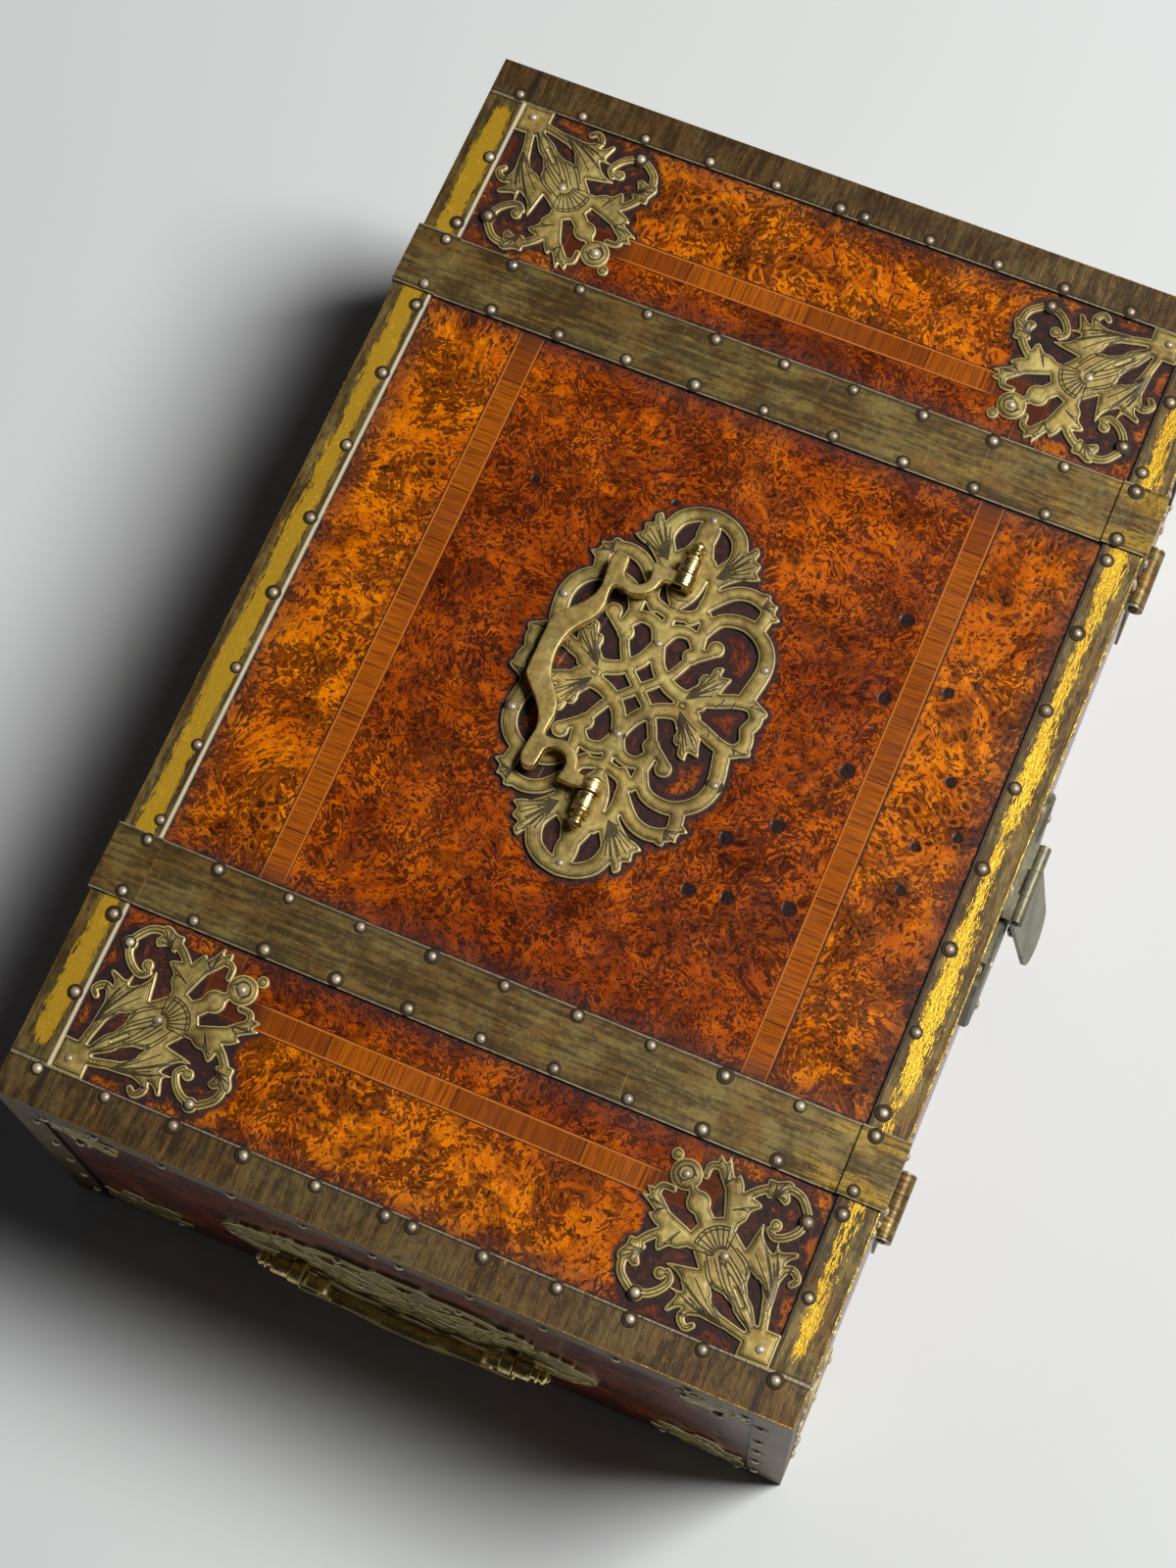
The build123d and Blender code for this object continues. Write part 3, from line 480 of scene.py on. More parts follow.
# %% Crossband veneer
shader = finish("crossband_veneer", **polish)
leaf_length, half_band = 47.5 * mm, 5 * mm
x, y, z = axes(here())
band_low, band_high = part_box("lid_crossbanding")
past_x = abs(x) - field_high.x
past_y = abs(y) - field_high.y
at_end = above(past_x, past_y)
across = most(past_x, past_y)
along = choose(at_end, x, y)
length = (along + choose(at_end, 0.0, leaf_length)) / leaf_length
leaf = number("FLOOR", length)
grain_place = put("ShaderNodeCombineXYZ", X=along * 22.0, Y=across, Z=leaf).outputs[0]
grain = noise(grain_place, 42.0, 5.0, 0.7, 0.25)
chance = put("ShaderNodeTexWhiteNoise", {"noise_dimensions": "1D"}, W=leaf + at_end * 17.0)
colour = mixed(fade(grain, 0.34, 0.62), (0.17, 0.032, 0.003), (0.47, 0.115, 0.005))
light = chance.outputs["Value"]
colour = mixed(fade(light, 0.25, 1.0, 0.0, 0.6), colour, (0.15, 0.028, 0.004))
joint = abs(number("FRACT", length) - 0.5)
colour = mixed(fade(joint, 0.4935, 0.498), colour, (0.03, 0.01, 0.006))
from_edge = half_band - abs(across - half_band)
colour = mixed(fade(from_edge, 1.15 * mm, 0.9 * mm), colour, (0.56, 0.16, 0.02))
colour = mixed(fade(from_edge, 0.42 * mm, 0.26 * mm), colour, (0.04, 0.012, 0.006))
# Painted shade and old wax: the crossband darkens towards the corners, under the corner mounts
to_corner = most(x_field - abs(x), y_field - abs(y))
wax_and_shade_at_corner = fade(to_corner + grain * (8 * mm), 69 * mm, 59 * mm, 0.0, 0.82)
lay_wax_and_shade(shader, mixed(wax_and_shade_at_corner, colour, (0.05, 0.013, 0.009)), grain)

# %% [markdown]
# ## Carcass wood
#
# The boards under the veneer are plain oak. They show only when the lid is up, so a long grain
# with open pores is enough.

# %% Oak of the boards
shader = finish("carcass_wood", Specular_IOR_Level=0.3)
grain = noise(stretched((0.9, 34, 34)), 16.0, 5.0, 0.6, 0.4)
pores = noise(stretched((6, 90, 90)), 18.0, 3.0, 0.6)
colour = mixed(fade(grain, 0.3, 0.7), (0.15, 0.075, 0.033), (0.3, 0.17, 0.082))
colour = mixed(fade(pores, 0.62, 0.7, 0.0, 0.7), colour, (0.06, 0.028, 0.013))
fill(shader, Base_Color=colour, Roughness=fade(grain, 0.3, 0.7, 0.62, 0.75))
relief(shader, grain + pores, 0.2 * mm)

# %% [markdown]
# ## Aged brass
#
# Old brass under wax goes olive brown, with green grey clouds and darker spots, and shines gold
# only where hands and cloths wear it. The group gives that skin; each metal adds its own colours
# and says where it is worn.

# %% The brass patina group
brass_patina, given, result = effect(
    "brass_patina",
    {
        "Metal": (0.5, 0.36, 0.12), "Tarnish": (0.16, 0.13, 0.055), "Bloom": (0.17, 0.165, 0.105),
        "Dirt": (0.03, 0.02, 0.012), "Cover": 0.6, "Wear": 0.0, "Streak": 0.5,
    },
    {"Color": COLOUR, "Roughness": VALUE, "Metallic": VALUE, "Height": VALUE},
)
place = here()
clouds = noise(place, 42.0, 6.0, 0.6, 0.6)
grit = noise(place, 420.0, 4.0, 0.65, 0.0, 3.0)
streak, speck = given["Streak"] - 0.5, grit - 0.5
cover = clouds + (given["Cover"] - 0.5) - given["Wear"] - streak * 0.7
cover = fade(cover + speck * 0.5, 0.34, 0.6)
green = fade(noise(place, 60.0, 5.0, 0.65, 0.5, 6.0), 0.42, 0.6, 0.0, 0.9)
skin = mixed(green, given["Tarnish"], given["Bloom"])
tone = fade(streak * 3.2 + (clouds - 0.5) * 1.6 + speck, -0.42, 0.42)
skin = mixed(tone, tinted(skin, (0.5, 0.46, 0.42)), tinted(skin, (1.5, 1.5, 1.5)))
colour = mixed(cover, given["Metal"], skin)
pits = fade(noise(place, 180.0, 5.0, 0.7, 0.5, 9.0), 0.57, 0.68)
pits = pits * (0.7 - given["Wear"] * 0.4)
colour = mixed(pits, colour, given["Dirt"])
rough = fade(cover, 0.0, 1.0, 0.27, 0.44) + pits * 0.2 + speck * 0.12
metallic = fade(cover, 0.0, 1.0, 1.0, 0.42) * (1.0 - pits * 0.7)
height = grit * 0.35 + clouds * 0.6
fill(result, Color=colour, Roughness=rough, Metallic=metallic, Height=height)


def clad(shader, skin, depth, extra_height=None, colour=None, metallic=None):
    """Feeds a brass skin to a shader; the other values stand in for the skin's own."""
    fill(
        shader, Base_Color=colour or skin["Color"], Roughness=skin["Roughness"],
        Metallic=metallic or skin["Metallic"],
    )
    height = skin["Height"]
    relief(shader, height + extra_height if extra_height else height, depth)


# %% [markdown]
# ## Straps
#
# The straps along the front and back are rubbed by every hand that opens the box, so their
# middles are bright gold with a ragged edge, brushed lengthwise. The end straps stay brown. A
# dark line of dirt runs down both edges of each strap.

# %% Brush marks and edges of a strap
skin_depth = 0.25 * mm
old_dirt, bright_brass = (0.028, 0.016, 0.01), (0.5, 0.42, 0.24)


def brushing(marks_grain, fine_grain, seed, fine_share, patch_share):
    """Brush marks, finer ones, and their mix with slow patches, from which metal is rubbed."""
    marks = noise(stretched(marks_grain), 9.0, 6.0, 0.7, 0.35, seed)
    fine = noise(stretched(fine_grain), 9.0, 4.0, 0.7, 0.3, 5.0)
    patch = noise(here(), 26.0, 4.0, 0.6, 0.5, 14.0)
    rub = (marks - 0.5) * 1.5 + (fine - 0.5) * fine_share + (patch - 0.5) * patch_share
    return marks, fine, rub


def edge_lines(colour, dirt, from_edge, fine):
    """Old dirt near an edge, and a bright line at the edge: rubbed metal and painted highlight."""
    # Painted highlight and rubbed metal: a thin bright line along the edge
    bright = fade(from_edge, 0.7 * mm, 0.4 * mm) * fade(fine, 0.35, 0.55, 0.15, 0.7)
    return mixed(bright, mixed(dirt, colour, old_dirt), bright_brass)


# %% Edge and corner straps
shader = finish("strap_brass")
x, y, z = axes(here())
x_abs, y_abs = abs(x), abs(y)
inner, end_edge = y_abs - y_field, x_abs - x_field
brushed, fine, rub = brushing((7, 60, 60), (30, 200, 200), 2.0, 2.6, 2.4)
# The gold runs down the middle of the long straps, brighter at the back
gold = fade(inner, 1 * mm, 6.2 * mm) * fade(inner, 14.5 * mm, 6 * mm)
gold = gold * fade(end_edge, -1 * mm, -9 * mm) * fade(z, z_lid - 2 * mm, z_lid - 1 * mm)
rub = fade(rub + gold * fade(y, -0.01, 0.01, 1.0, 1.5), 0.6, 0.76)
arris = most(fade(x_abs - x_out, -0.5 * mm, -0.1 * mm), fade(y_abs - y_out, -0.5 * mm, -0.1 * mm))
arris = arris * fade(z, z_lid - 0.6 * mm, z_lid - 0.2 * mm) * 0.5
# Painted highlight: a near-white, less metallic strip along the inner edge of the back strap
painted_edge_highlight = fade(inner, 1.5 * mm, 0.7 * mm) * fade(inner, -0.6 * mm, -0.2 * mm)
painted_edge_highlight = painted_edge_highlight * fade(y, 0.0, 0.01) * fade(end_edge, 0.5 * mm, -0.5 * mm)
skin = use(
    brass_patina, Metal=(0.95, 0.56, 0.04), Tarnish=(0.135, 0.075, 0.018),
    Bloom=(0.165, 0.12, 0.036), Cover=0.8, Wear=most(rub * 0.75, arris, painted_edge_highlight), Streak=brushed,
)
dirt = most(fade(abs(inner), 1.8 * mm, 0.6 * mm), fade(abs(end_edge), 1.8 * mm, 0.6 * mm))
dirt = dirt * fade(brushed, 0.25, 0.5, 0.3, 0.85) * (1.0 - painted_edge_highlight)
darker = tinted(skin["Color"], (0.74, 0.66, 0.66))
colour = mixed(fade(end_edge, -0.5 * mm, 0.5 * mm), skin["Color"], darker)
colour = edge_lines(colour, dirt, abs(end_edge), fine)
colour = mixed(rub * 0.8, colour, (0.96, 0.55, 0.04))
# Painted highlight along the back strap's inner edge
colour = mixed(painted_edge_highlight * 0.85, colour, (0.85, 0.8, 0.62))
matt = most(rub * 0.5, painted_edge_highlight)
clad(shader, skin, skin_depth, fine * 0.5, colour, skin["Metallic"] * (1.0 - matt * 0.8))

# %% Cross straps and side hasps
shader = finish("cross_strap_brass")
x, y, z = axes(here())
from_edge = cross_half - abs(abs(x) - cross_middle)
brushed, fine, rub = brushing((60, 6, 60), (200, 30, 200), 4.0, 2.0, 2.2)
at_front = fade(y + y_field, 28 * mm, -4 * mm) * fade(from_edge, 14 * mm, 1 * mm)
at_front = at_front * fade(z, z_lid - 3 * mm, z_lid - 1 * mm)
rub = fade(rub + at_front * 0.8, 0.3, 0.7)
skin = use(
    brass_patina, Metal=(0.78, 0.5, 0.09), Tarnish=(0.15, 0.082, 0.018), Bloom=(0.18, 0.132, 0.04),
    Cover=0.8, Wear=rub * 0.3, Streak=brushed,
)
scratch = noise(stretched((25, 900, 25), (0, 0, 0.5)), 2.2, 2.0, 0.5, 0.0, 8.0)
colour = mixed(fade(scratch, 0.68, 0.74, 0.0, 0.4), skin["Color"], (0.42, 0.34, 0.17))
colour = mixed(rub * 0.5, colour, (0.52, 0.32, 0.045))
dirt = fade(from_edge, 2.2 * mm, 0.8 * mm) * fade(brushed, 0.25, 0.5, 0.2, 0.65)
clad(shader, skin, skin_depth, brushed * 0.4, edge_lines(colour, dirt, from_edge, fine))
print("strap finishes ready")

# %% [markdown]
# ## Chiselled mounts
#
# A mount is cast, filed and then chased: a filed bevel runs round every edge, and a chaser cuts
# fine lines beside it and down the leaves. The bevel is painted bright, part worn metal and part
# painted highlight. The mesh below stores how far each point lies from the nearest edge and from
# the nearest cut, both in millimetres, and the finish turns those two distances into bevel, lines
# and hatching that stay crisp at any size.

# %% Mount brass, engraved by distance
shader = finish("mount_brass")
edge, vein = attribute("edge"), attribute("vein")
loose_edge = edge + (noise(here(), 240.0, 3.0) - 0.5) * 0.5


def groove(distance, middle, width):
    """A line cut at one distance."""
    return fade(abs(distance - middle), width, width * 0.35)


lines = most(groove(loose_edge, 0.9, 0.3), groove(loose_edge, 1.6, 0.2) * 0.55)
cuts = most(lines, fade(vein, 0.32, 0.12))
bevel = fade(edge, 0.42, 0.2)
skin = use(
    brass_patina, Metal=(0.72, 0.55, 0.2), Tarnish=(0.44, 0.318, 0.085), Bloom=(0.51, 0.41, 0.13),
    Dirt=(0.08, 0.046, 0.018), Cover=0.78, Wear=bevel * 0.3,
)
dull = fade(noise(here(), 95.0, 5.0, 0.65, 0.6, 17.0), 0.46, 0.6, 0.0, 0.5)
colour = mixed(dull, skin["Color"], tinted(skin["Color"], (0.5, 0.38, 0.3)))
# Painted highlight and worn metal: the filed bevel is lightened, and below made less metallic
colour = mixed(bevel * 0.8, colour, (0.7, 0.58, 0.28))
beside = fade(abs(vein - 0.52), 0.2, 0.05) * 0.4
colour = mixed(beside, colour, (0.58, 0.48, 0.25))
colour = mixed(cuts * 0.86, colour, (0.026, 0.016, 0.012))
metallic = skin["Metallic"] * fade(bevel, 0.0, 1.0, 0.8, 0.3)
clad(shader, skin, 0.22 * mm, cuts * -1.1, colour, metallic)

# %% [markdown]
# ## Handles, lock and iron
#
# Bails and posts are brassier, because they are gripped. The lock plate and its hasp have gone
# greenish. Pins, spring and bolt are iron with a brown skin.

# %% Handle, lock, nail and iron finishes
shader = finish("handle_brass")
skin = use(
    brass_patina, Metal=(0.76, 0.6, 0.27), Tarnish=(0.42, 0.29, 0.08), Bloom=(0.47, 0.36, 0.12),
    Cover=0.72, Wear=fade(attribute("edge"), 1.2, 0.2) * 0.3,
)
clad(shader, skin, 0.2 * mm, noise(here(), 70.0, 4.0, 0.6) * 0.5)

shader = finish("lock_brass")
skin = use(brass_patina, Metal=(0.52, 0.4, 0.15), Tarnish=(0.16, 0.145, 0.085), Cover=0.72)
clad(shader, skin, skin_depth)

shader = finish("nail_brass")
skin = use(
    brass_patina, Metal=(0.9, 0.8, 0.66), Tarnish=(0.5, 0.4, 0.28), Bloom=(0.58, 0.47, 0.34),
    Dirt=(0.2, 0.13, 0.08), Cover=0.66,
)
clad(shader, skin, 0.1 * mm)

# Old dirt and painted shade: the dark ring round every nail head
shader = finish("nail_dirt", Specular_IOR_Level=0.3)
patchy = noise(here(), 700.0, 3.0, 0.6)
fill(
    shader,
    Base_Color=mixed(fade(patchy, 0.4, 0.65), (0.035, 0.022, 0.013), (0.085, 0.058, 0.026)),
    Roughness=fade(patchy, 0.3, 0.7, 0.5, 0.7), Metallic=fade(patchy, 0.4, 0.7, 0.2, 0.8),
)

shader = finish("iron")
rust = noise(here(), 220.0, 5.0, 0.65, 0.4)
fill(
    shader, Base_Color=mixed(fade(rust, 0.4, 0.65), (0.09, 0.08, 0.075), (0.11, 0.045, 0.02)),
    Roughness=fade(rust, 0.3, 0.7, 0.38, 0.75), Metallic=fade(rust, 0.45, 0.7, 0.95, 0.3),
)
relief(shader, rust, 0.3 * mm)

# %% [markdown]
# ## Give every CAD piece its finish
#
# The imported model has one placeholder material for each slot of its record. Each node's slot is
# filled with the finish of the same name.

# %% Assign the finishes
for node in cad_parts.values():
    for slot in node.material_slots:
        slot.material = finishes[slot.material.name.removeprefix("plain_")]
for material in list(bpy.data.materials):
    if material.name.startswith("plain_"):
        bpy.data.materials.remove(material)
print("finishes:", sorted(finishes))

# %% [markdown]
# ## Cut-outs, drawn in the flat
#
# A pierced mount is sawn from sheet along a drawing. The drawing here is a set of overlapping
# ribbons, leaves and knobs, each through a few points. A constrained triangulation fuses them
# into one shape, whatever way they cross. Running it twice pays off: the first run finds the
# true edge, and the second adds a row of points just inside it, for the filed bevel, and a
# fine field of points in the middle, where the chased lines need them.


# %% Curves, ribbons and knobs
def curve(points, steps=5, closed=False):
    """Smooth curve through a few points."""
    points = [Vector(point) for point in points]
    ends = (points[-1:], points[:2]) if closed else (points[:1], points[-1:])
    run = ends[0] + points + ends[1]
    path = []
    for a, b, c, d in zip(run, run[1:], run[2:], run[3:]):
        for step in range(steps):
            t = step / steps
            bend = (2 * a - 5 * b + 4 * c - d) * t * t + (3 * b - a - 3 * c + d) * t**3
            path.append((2 * b + (c - a) * t + bend) / 2)
    return path if closed else path + points[-1:]


def knob(x, y, radius, sides=20):
    """Round boss."""
    turns = [2 * pi * index / sides for index in range(sides)]
    return [Vector((x + radius * cos(t), y + radius * sin(t))) for t in turns]


def ribbon(points, start, end):
    """Short four-sided pieces of a ribbon, with round ends."""
    path = curve(points)
    last = len(path) - 1
    sides = []
    for index, point in enumerate(path):
        along = (path[min(index + 1, last)] - path[max(index - 1, 0)]).normalized()
        half = (start + (end - start) * index / last) / 2
        across = Vector((-along.y, along.x)) * half
        sides.append((point + across, point - across))
    pieces = [[a, b, d, c] for (a, b), (c, d) in zip(sides, sides[1:])]
    return pieces + [knob(*path[0], start / 2), knob(*path[-1], end / 2)]


def drawing(ribbons, leaves, knobs, broader=0.0):
    """All shapes of a drawing; its ribbons can be made broader."""
    shapes = []
    for points, start, end in ribbons:
        shapes += ribbon(points, start + broader, end + broader)
    shapes += [curve(leaf, 4, closed=True) for leaf in leaves]
    return shapes + [knob(*each) for each in knobs]


def veins(leaves, tips, middle, bend, reach):
    """Lines from the foot of each leaf towards its tips, bent at the middle."""
    lines = []
    for leaf in leaves:
        foot = (Vector(leaf[0]) + Vector(leaf[-1])) / 2
        for tip in leaf[tips]:
            knee = foot.lerp(Vector(tip), middle) + Vector(bend)
            lines.append(curve([foot, knee, foot.lerp(Vector(tip), reach)], 4))
    return lines


def leftwards(loop):
    """The same outline, run anticlockwise."""
    area = sum(a.x * b.y - a.y * b.x for a, b in zip(loop, loop[1:] + loop[:1]))
    return loop if area > 0 else loop[::-1]


# %% Fuse the drawing into one flat shape
far_mm = 9.0
edge_gap_mm, vein_gap_mm = 0.2, 0.15
line_step = 0.866


def samples(lines, gap):
    """Points along every part of some lines, about one gap apart."""
    found = []
    for line in lines:
        for start, end in zip(line, line[1:]):
            count = max(1, ceil((end - start).length / gap))
            found += [start.lerp(end, index / count) for index in range(count)]
    return found


def tree_of(points):
    """A search tree for the nearest of many flat points."""
    found = kdtree.KDTree(len(points))
    for index, point in enumerate(points):
        found.insert((point[0], point[1], 0), index)
    found.balance()
    return found


def nearest(tree, point):
    """Distance from a point to the nearest one in a search tree."""
    return tree.find((point[0], point[1], 0))[2]


def inside(spots, loop):
    """Indexes of the flat spots that lie inside an outline."""
    ring = np.array([(point.x, point.y) for point in loop])
    near = np.flatnonzero(((spots > ring.min(0)) & (spots < ring.max(0))).all(1))
    x, y = spots[near].T
    crossings = np.zeros(len(near), int)
    for (x0, y0), (x1, y1) in zip(ring, np.roll(ring, -1, 0)):
        if y0 != y1:
            crossings += ((y0 > y) != (y1 > y)) & (x < (x1 - x0) * (y - y0) / (y1 - y0) + x0)
    return near[crossings % 2 == 1]


class CutOut:
    """Flat shape in millimetres: its triangles, its edge and two distances at each point."""

    def __init__(self, shapes, openings=(), spacing=0.6, rows=(0.45,), strokes=(), keep=None):
        self.loops = [leftwards(list(loop)) for loop in [*shapes, *openings]]
        self.solid = len(shapes)
        self.fuse()
        sides = [(self.points[a], self.points[b]) for a, b in self.edge]
        self.edge_tree = tree_of(samples(sides, edge_gap_mm))
        room = rows[-1] + spacing / 2 if rows else 0.3
        drawn = [p for p in samples(strokes, spacing) if nearest(self.edge_tree, p) > room]
        extra = self.rims(sides, rows, spacing) + self.field(room, spacing, drawn, keep)
        self.refine(extra + drawn)
        self.from_edge = [nearest(self.edge_tree, point) for point in self.points]
        self.from_vein = [far_mm] * len(self.points)
        if strokes:
            vein_tree = tree_of(samples(strokes, vein_gap_mm))
            self.from_vein = [nearest(vein_tree, point) for point in self.points]

    def fuse(self):
        """Triangulates the union of the loops."""
        corners = [corner for loop in self.loops for corner in loop]
        runs = []
        for loop in self.loops:
            first = runs[-1][-1] + 1 if runs else 0
            runs.append(list(range(first, first + len(loop))))
        self.keep_solid(geometry.delaunay_2d_cdt(corners, [], runs, 1, 1e-5, False))

    def rims(self, sides, rows, spacing):
        """Rows of points a little inside the edge, where the filed bevel ends."""
        found = []
        for row in rows:
            for start, end in sides:
                along = (end - start).normalized()
                inwards = Vector((-along.y, along.x)) * row
                inner = [point + inwards for point in samples([(start, end)], spacing)]
                found += [p for p in inner if nearest(self.edge_tree, p) > 0.94 * row]
        return found

    def field(self, room, spacing, drawn, keep):
        """An even field of points, clear of the edge and of the drawn strokes."""
        stroke_tree = tree_of(drawn) if drawn else None
        left, right = min(point.x for point in self.points), max(point.x for point in self.points)
        bottom, top = min(point.y for point in self.points), max(point.y for point in self.points)
        found = []
        for line in range(int((top - bottom) / spacing / line_step)):
            for step in range(int((right - left) / spacing)):
                x = left + (step + line % 2 / 2) * spacing
                point = Vector((x, bottom + line * line_step * spacing))
                if keep and not keep(point) or nearest(self.edge_tree, point) < room:
                    continue
                if stroke_tree and nearest(stroke_tree, point) < spacing / 2:
                    continue
                found.append(point)
        return found

    def refine(self, extra):
        """Triangulates the shape again from its true edge alone, with extra points inside."""
        rim = sorted({corner for side in self.edge for corner in side})
        place = {corner: index for index, corner in enumerate(rim)}
        border = [(place[a], place[b]) for a, b in self.edge]
        corners = [self.points[corner] for corner in rim]
        self.keep_solid(geometry.delaunay_2d_cdt(corners + extra, border, [], 0, 1e-5, False))

    def keep_solid(self, made):
        """Keeps the triangles that lie in the shape, and finds its edge."""
        spots = np.array([(point.x, point.y) for point in made[0]])
        middles = spots[np.array(made[2])].mean(1)
        solid = np.zeros(len(middles), bool)
        for index, loop in enumerate(self.loops):
            solid[inside(middles, loop)] = index < self.solid
        triangles = [face for face, kept in zip(made[2], solid) if kept]
        used = sorted({corner for face in triangles for corner in face})
        place = {corner: index for index, corner in enumerate(used)}
        self.points = [made[0][corner].copy() for corner in used]
        self.triangles = [[place[corner] for corner in face] for face in triangles]
        sides = {(a, b) for face in self.triangles for a, b in zip(face, face[1:] + face[:1])}
        self.edge = sorted((a, b) for a, b in sides if (b, a) not in sides)


# %% Give a cut-out its thickness
def stand(name, data):
    """Puts an object into the scene."""
    made = bpy.data.objects.new(name, data)
    bpy.context.scene.collection.objects.link(made)
    return made


def piece(name, vertices, faces, finish_name, body, crease=35):
    """Makes an object, shades it smooth up to a crease and lets it ride on its body."""
    mesh = bpy.data.meshes.new(name)
    mesh.from_pydata(vertices, [], faces)
    mesh.shade_smooth()
    mesh.set_sharp_from_angle(angle=radians(crease))
    mesh.materials.append(finishes[finish_name])
    made = stand(name, mesh)
    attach(made, body)
    return made


def store(made, label, values):
    """Stores a number at each point of an object's mesh."""
    made.data.attributes.new(label, "FLOAT", "POINT").data.foreach_set("value", values)


def cast(name, cut_out, top, under, places, finish_name, body):
    """One object from copies of a cut-out; top and under give heights from the edge distance."""
    vertices, faces = [], []
    count = len(cut_out.points)
    for matrix in places:
        start = len(vertices)
        below = start + count
        for height in (top, under):
            for point, gap in zip(cut_out.points, cut_out.from_edge):
                vertices.append(matrix @ (Vector((point.x, point.y, height(gap))) * mm))
        copies = [[start + corner for corner in face] for face in cut_out.triangles]
        copies += [[below + corner for corner in reversed(face)] for face in cut_out.triangles]
        copies += [[below + a, below + b, start + b, start + a] for a, b in cut_out.edge]
        faces += [face[::-1] for face in copies] if matrix.determinant() < 0 else copies
    made = piece(name, vertices, faces, finish_name, body)
    store(made, "edge", cut_out.from_edge * 2 * len(places))
    store(made, "vein", (cut_out.from_vein + [far_mm] * count) * len(places))
    return made


def filed(thickness, dome=0.35, bevel=0.45, drop=0.4, shoulder=1.6):
    """Height of a filed and slightly domed face at a distance from its edge."""

    def height(gap):
        rise = dome * min(max(gap - bevel, 0) / shoulder, 1)
        return thickness - drop * max(0, 1 - gap / bevel) + rise

    return height


def flat(gap):
    """Height of a flat underside."""
    return 0.0


# %% [markdown]
# ## The four corner mounts
#
# One half of a corner mount is drawn, and the other half mirrors it about the diagonal. Two
# stems rise from a square foot, throw off curled side shoots and leaves, and end in a flower.
# Between them stand a fan shell, a ball and a leafy tip.

# %% Drawing of a corner mount, in millimetres from its corner
corner_ribbons = [
    ([(28, 15), (29.9, 17.7), (32.6, 22.7), (35.8, 26.8), (39, 29.9), (48.6, 33.6)], 3.4, 3.6),
    ([(48.6, 33.6), (53.6, 36.1), (56.6, 40), (55.8, 43.3), (52, 43.6)], 3.6, 2.4),
    ([(9, 6.2), (16.3, 7.7), (21.7, 9), (27.2, 9.2)], 3.4, 3.4),
    ([(27.2, 9.2), (32, 7.6), (33.4, 4.6), (31, 2.1), (28.8, 3.6)], 3.6, 2.4),
    ([(49.5, 29.5), (53.6, 25.8), (56.6, 21.5), (58.6, 15.5), (57.4, 10.8), (53.1, 7.2)], 3.4, 3.0),
    ([(51.5, 6.5), (46.7, 7.7), (43.1, 10.8), (41.4, 14.6), (43.2, 17)], 3.2, 2.6),
]
stem_leaves = [
    [(8, 8), (16.3, 12), (19.5, 14.9), (23.6, 17.2), (28.3, 18), (32, 24), (36, 29), (29, 31),
     (20, 20)],
    [(34, 38), (38, 34), (47, 44.5), (44.5, 47)],
]
corner_leaves = [
    [(9, 6), (19.9, 10.1), (24.5, 12.5), (27.6, 16), (30.5, 21.9), (37.2, 21.3), (44.5, 19.6),
     (40.4, 18.1), (37.6, 15.4), (36.4, 12.8), (40.4, 12.6), (37.8, 10.9), (39.5, 5.6), (38, 4.9),
     (35.4, 7.4), (30, 7.4)],
    [(38, 30.5), (42.7, 25.7), (46.3, 25), (49.2, 22.2), (50.8, 24.6), (51, 31.5)],
    [(47, 32.5), (51.7, 29.7), (56.7, 32.7), (55.4, 34.5), (61.2, 38.1), (58.9, 38.9),
     (60.6, 41.5), (56, 41)],
    [(53.1, 22.2), (59, 23.6), (59.6, 20.4), (61.2, 17.2), (60.4, 14.8), (57.5, 15.4),
     (54.9, 14.3), (52.8, 15.6), (54.2, 19)],
]
flower = (50.4, 6.3, 2.8)
corner_knobs = [flower, (45.4, 15.6, 2.2), (42.5, 42.5, 4.3), (49.9, 49.9, 5.6), (55.3, 55.3, 2.2)]
corner_foot = [(0, 0), (12, 0), (12, 12), (0, 12)]
shell_middle, shell_radius, shell_ribs = 29.3, 12.0, 9


def corner_strokes():
    """Chased lines of one half: leaf veins, shell ribs, petals and the swirl on the ball."""
    lines = veins(corner_leaves, slice(2, -2), 0.45, (0.5, -0.3), 0.82)
    for stem in (
        ((10.5, 9.0), (17, 13.2), (24.5, 19.3), (30.5, 27)),
        ((11, 10), (16, 14.2), (22, 20.5), (27, 28)),
        ((20, 17), (23, 19.5), (27, 24.5), (29.5, 28.5)),
        ((24, 17.8), (28.5, 20), (31.5, 24), (34, 28)),
        ((21.5, 15.8), (26, 17), (30, 19.6), (33.3, 25)),
    ):
        lines.append(curve(stem, 4))
    heart = Vector((shell_middle - 1.5, shell_middle - 1.5))
    for rib in range(shell_ribs):
        turn = radians(-4 + 98 * rib / (shell_ribs - 1))
        out = Vector((cos(turn), sin(turn)))
        lines.append([heart + out * 3.5, heart + out * (shell_radius - 0.8)])
    middle = Vector((shell_middle, shell_middle))
    turns = [radians(degrees) for degrees in range(0, 93, 8)]
    for radius in (8.2, 9.4):
        lines.append([middle + Vector((cos(t), sin(t))) * radius for t in turns])
    x, y, radius = flower
    for petal in range(6):
        turn = radians(60 * petal)
        out = Vector((cos(turn), sin(turn)))
        lines.append([Vector((x, y)) + out * radius * share for share in (0.45, 0.95)])
    lines.append(curve([(46.5, 50.5), (49, 53), (52, 52), (52.5, 49), (50, 47.5), (48.3, 49)], 4))
    return lines


# %% Cut, chase and place the corner mounts
def half_and_mirror(shapes):
    """A drawing and its mirror image about the diagonal."""
    return shapes + [[Vector((point.y, point.x)) for point in shape] for shape in shapes]


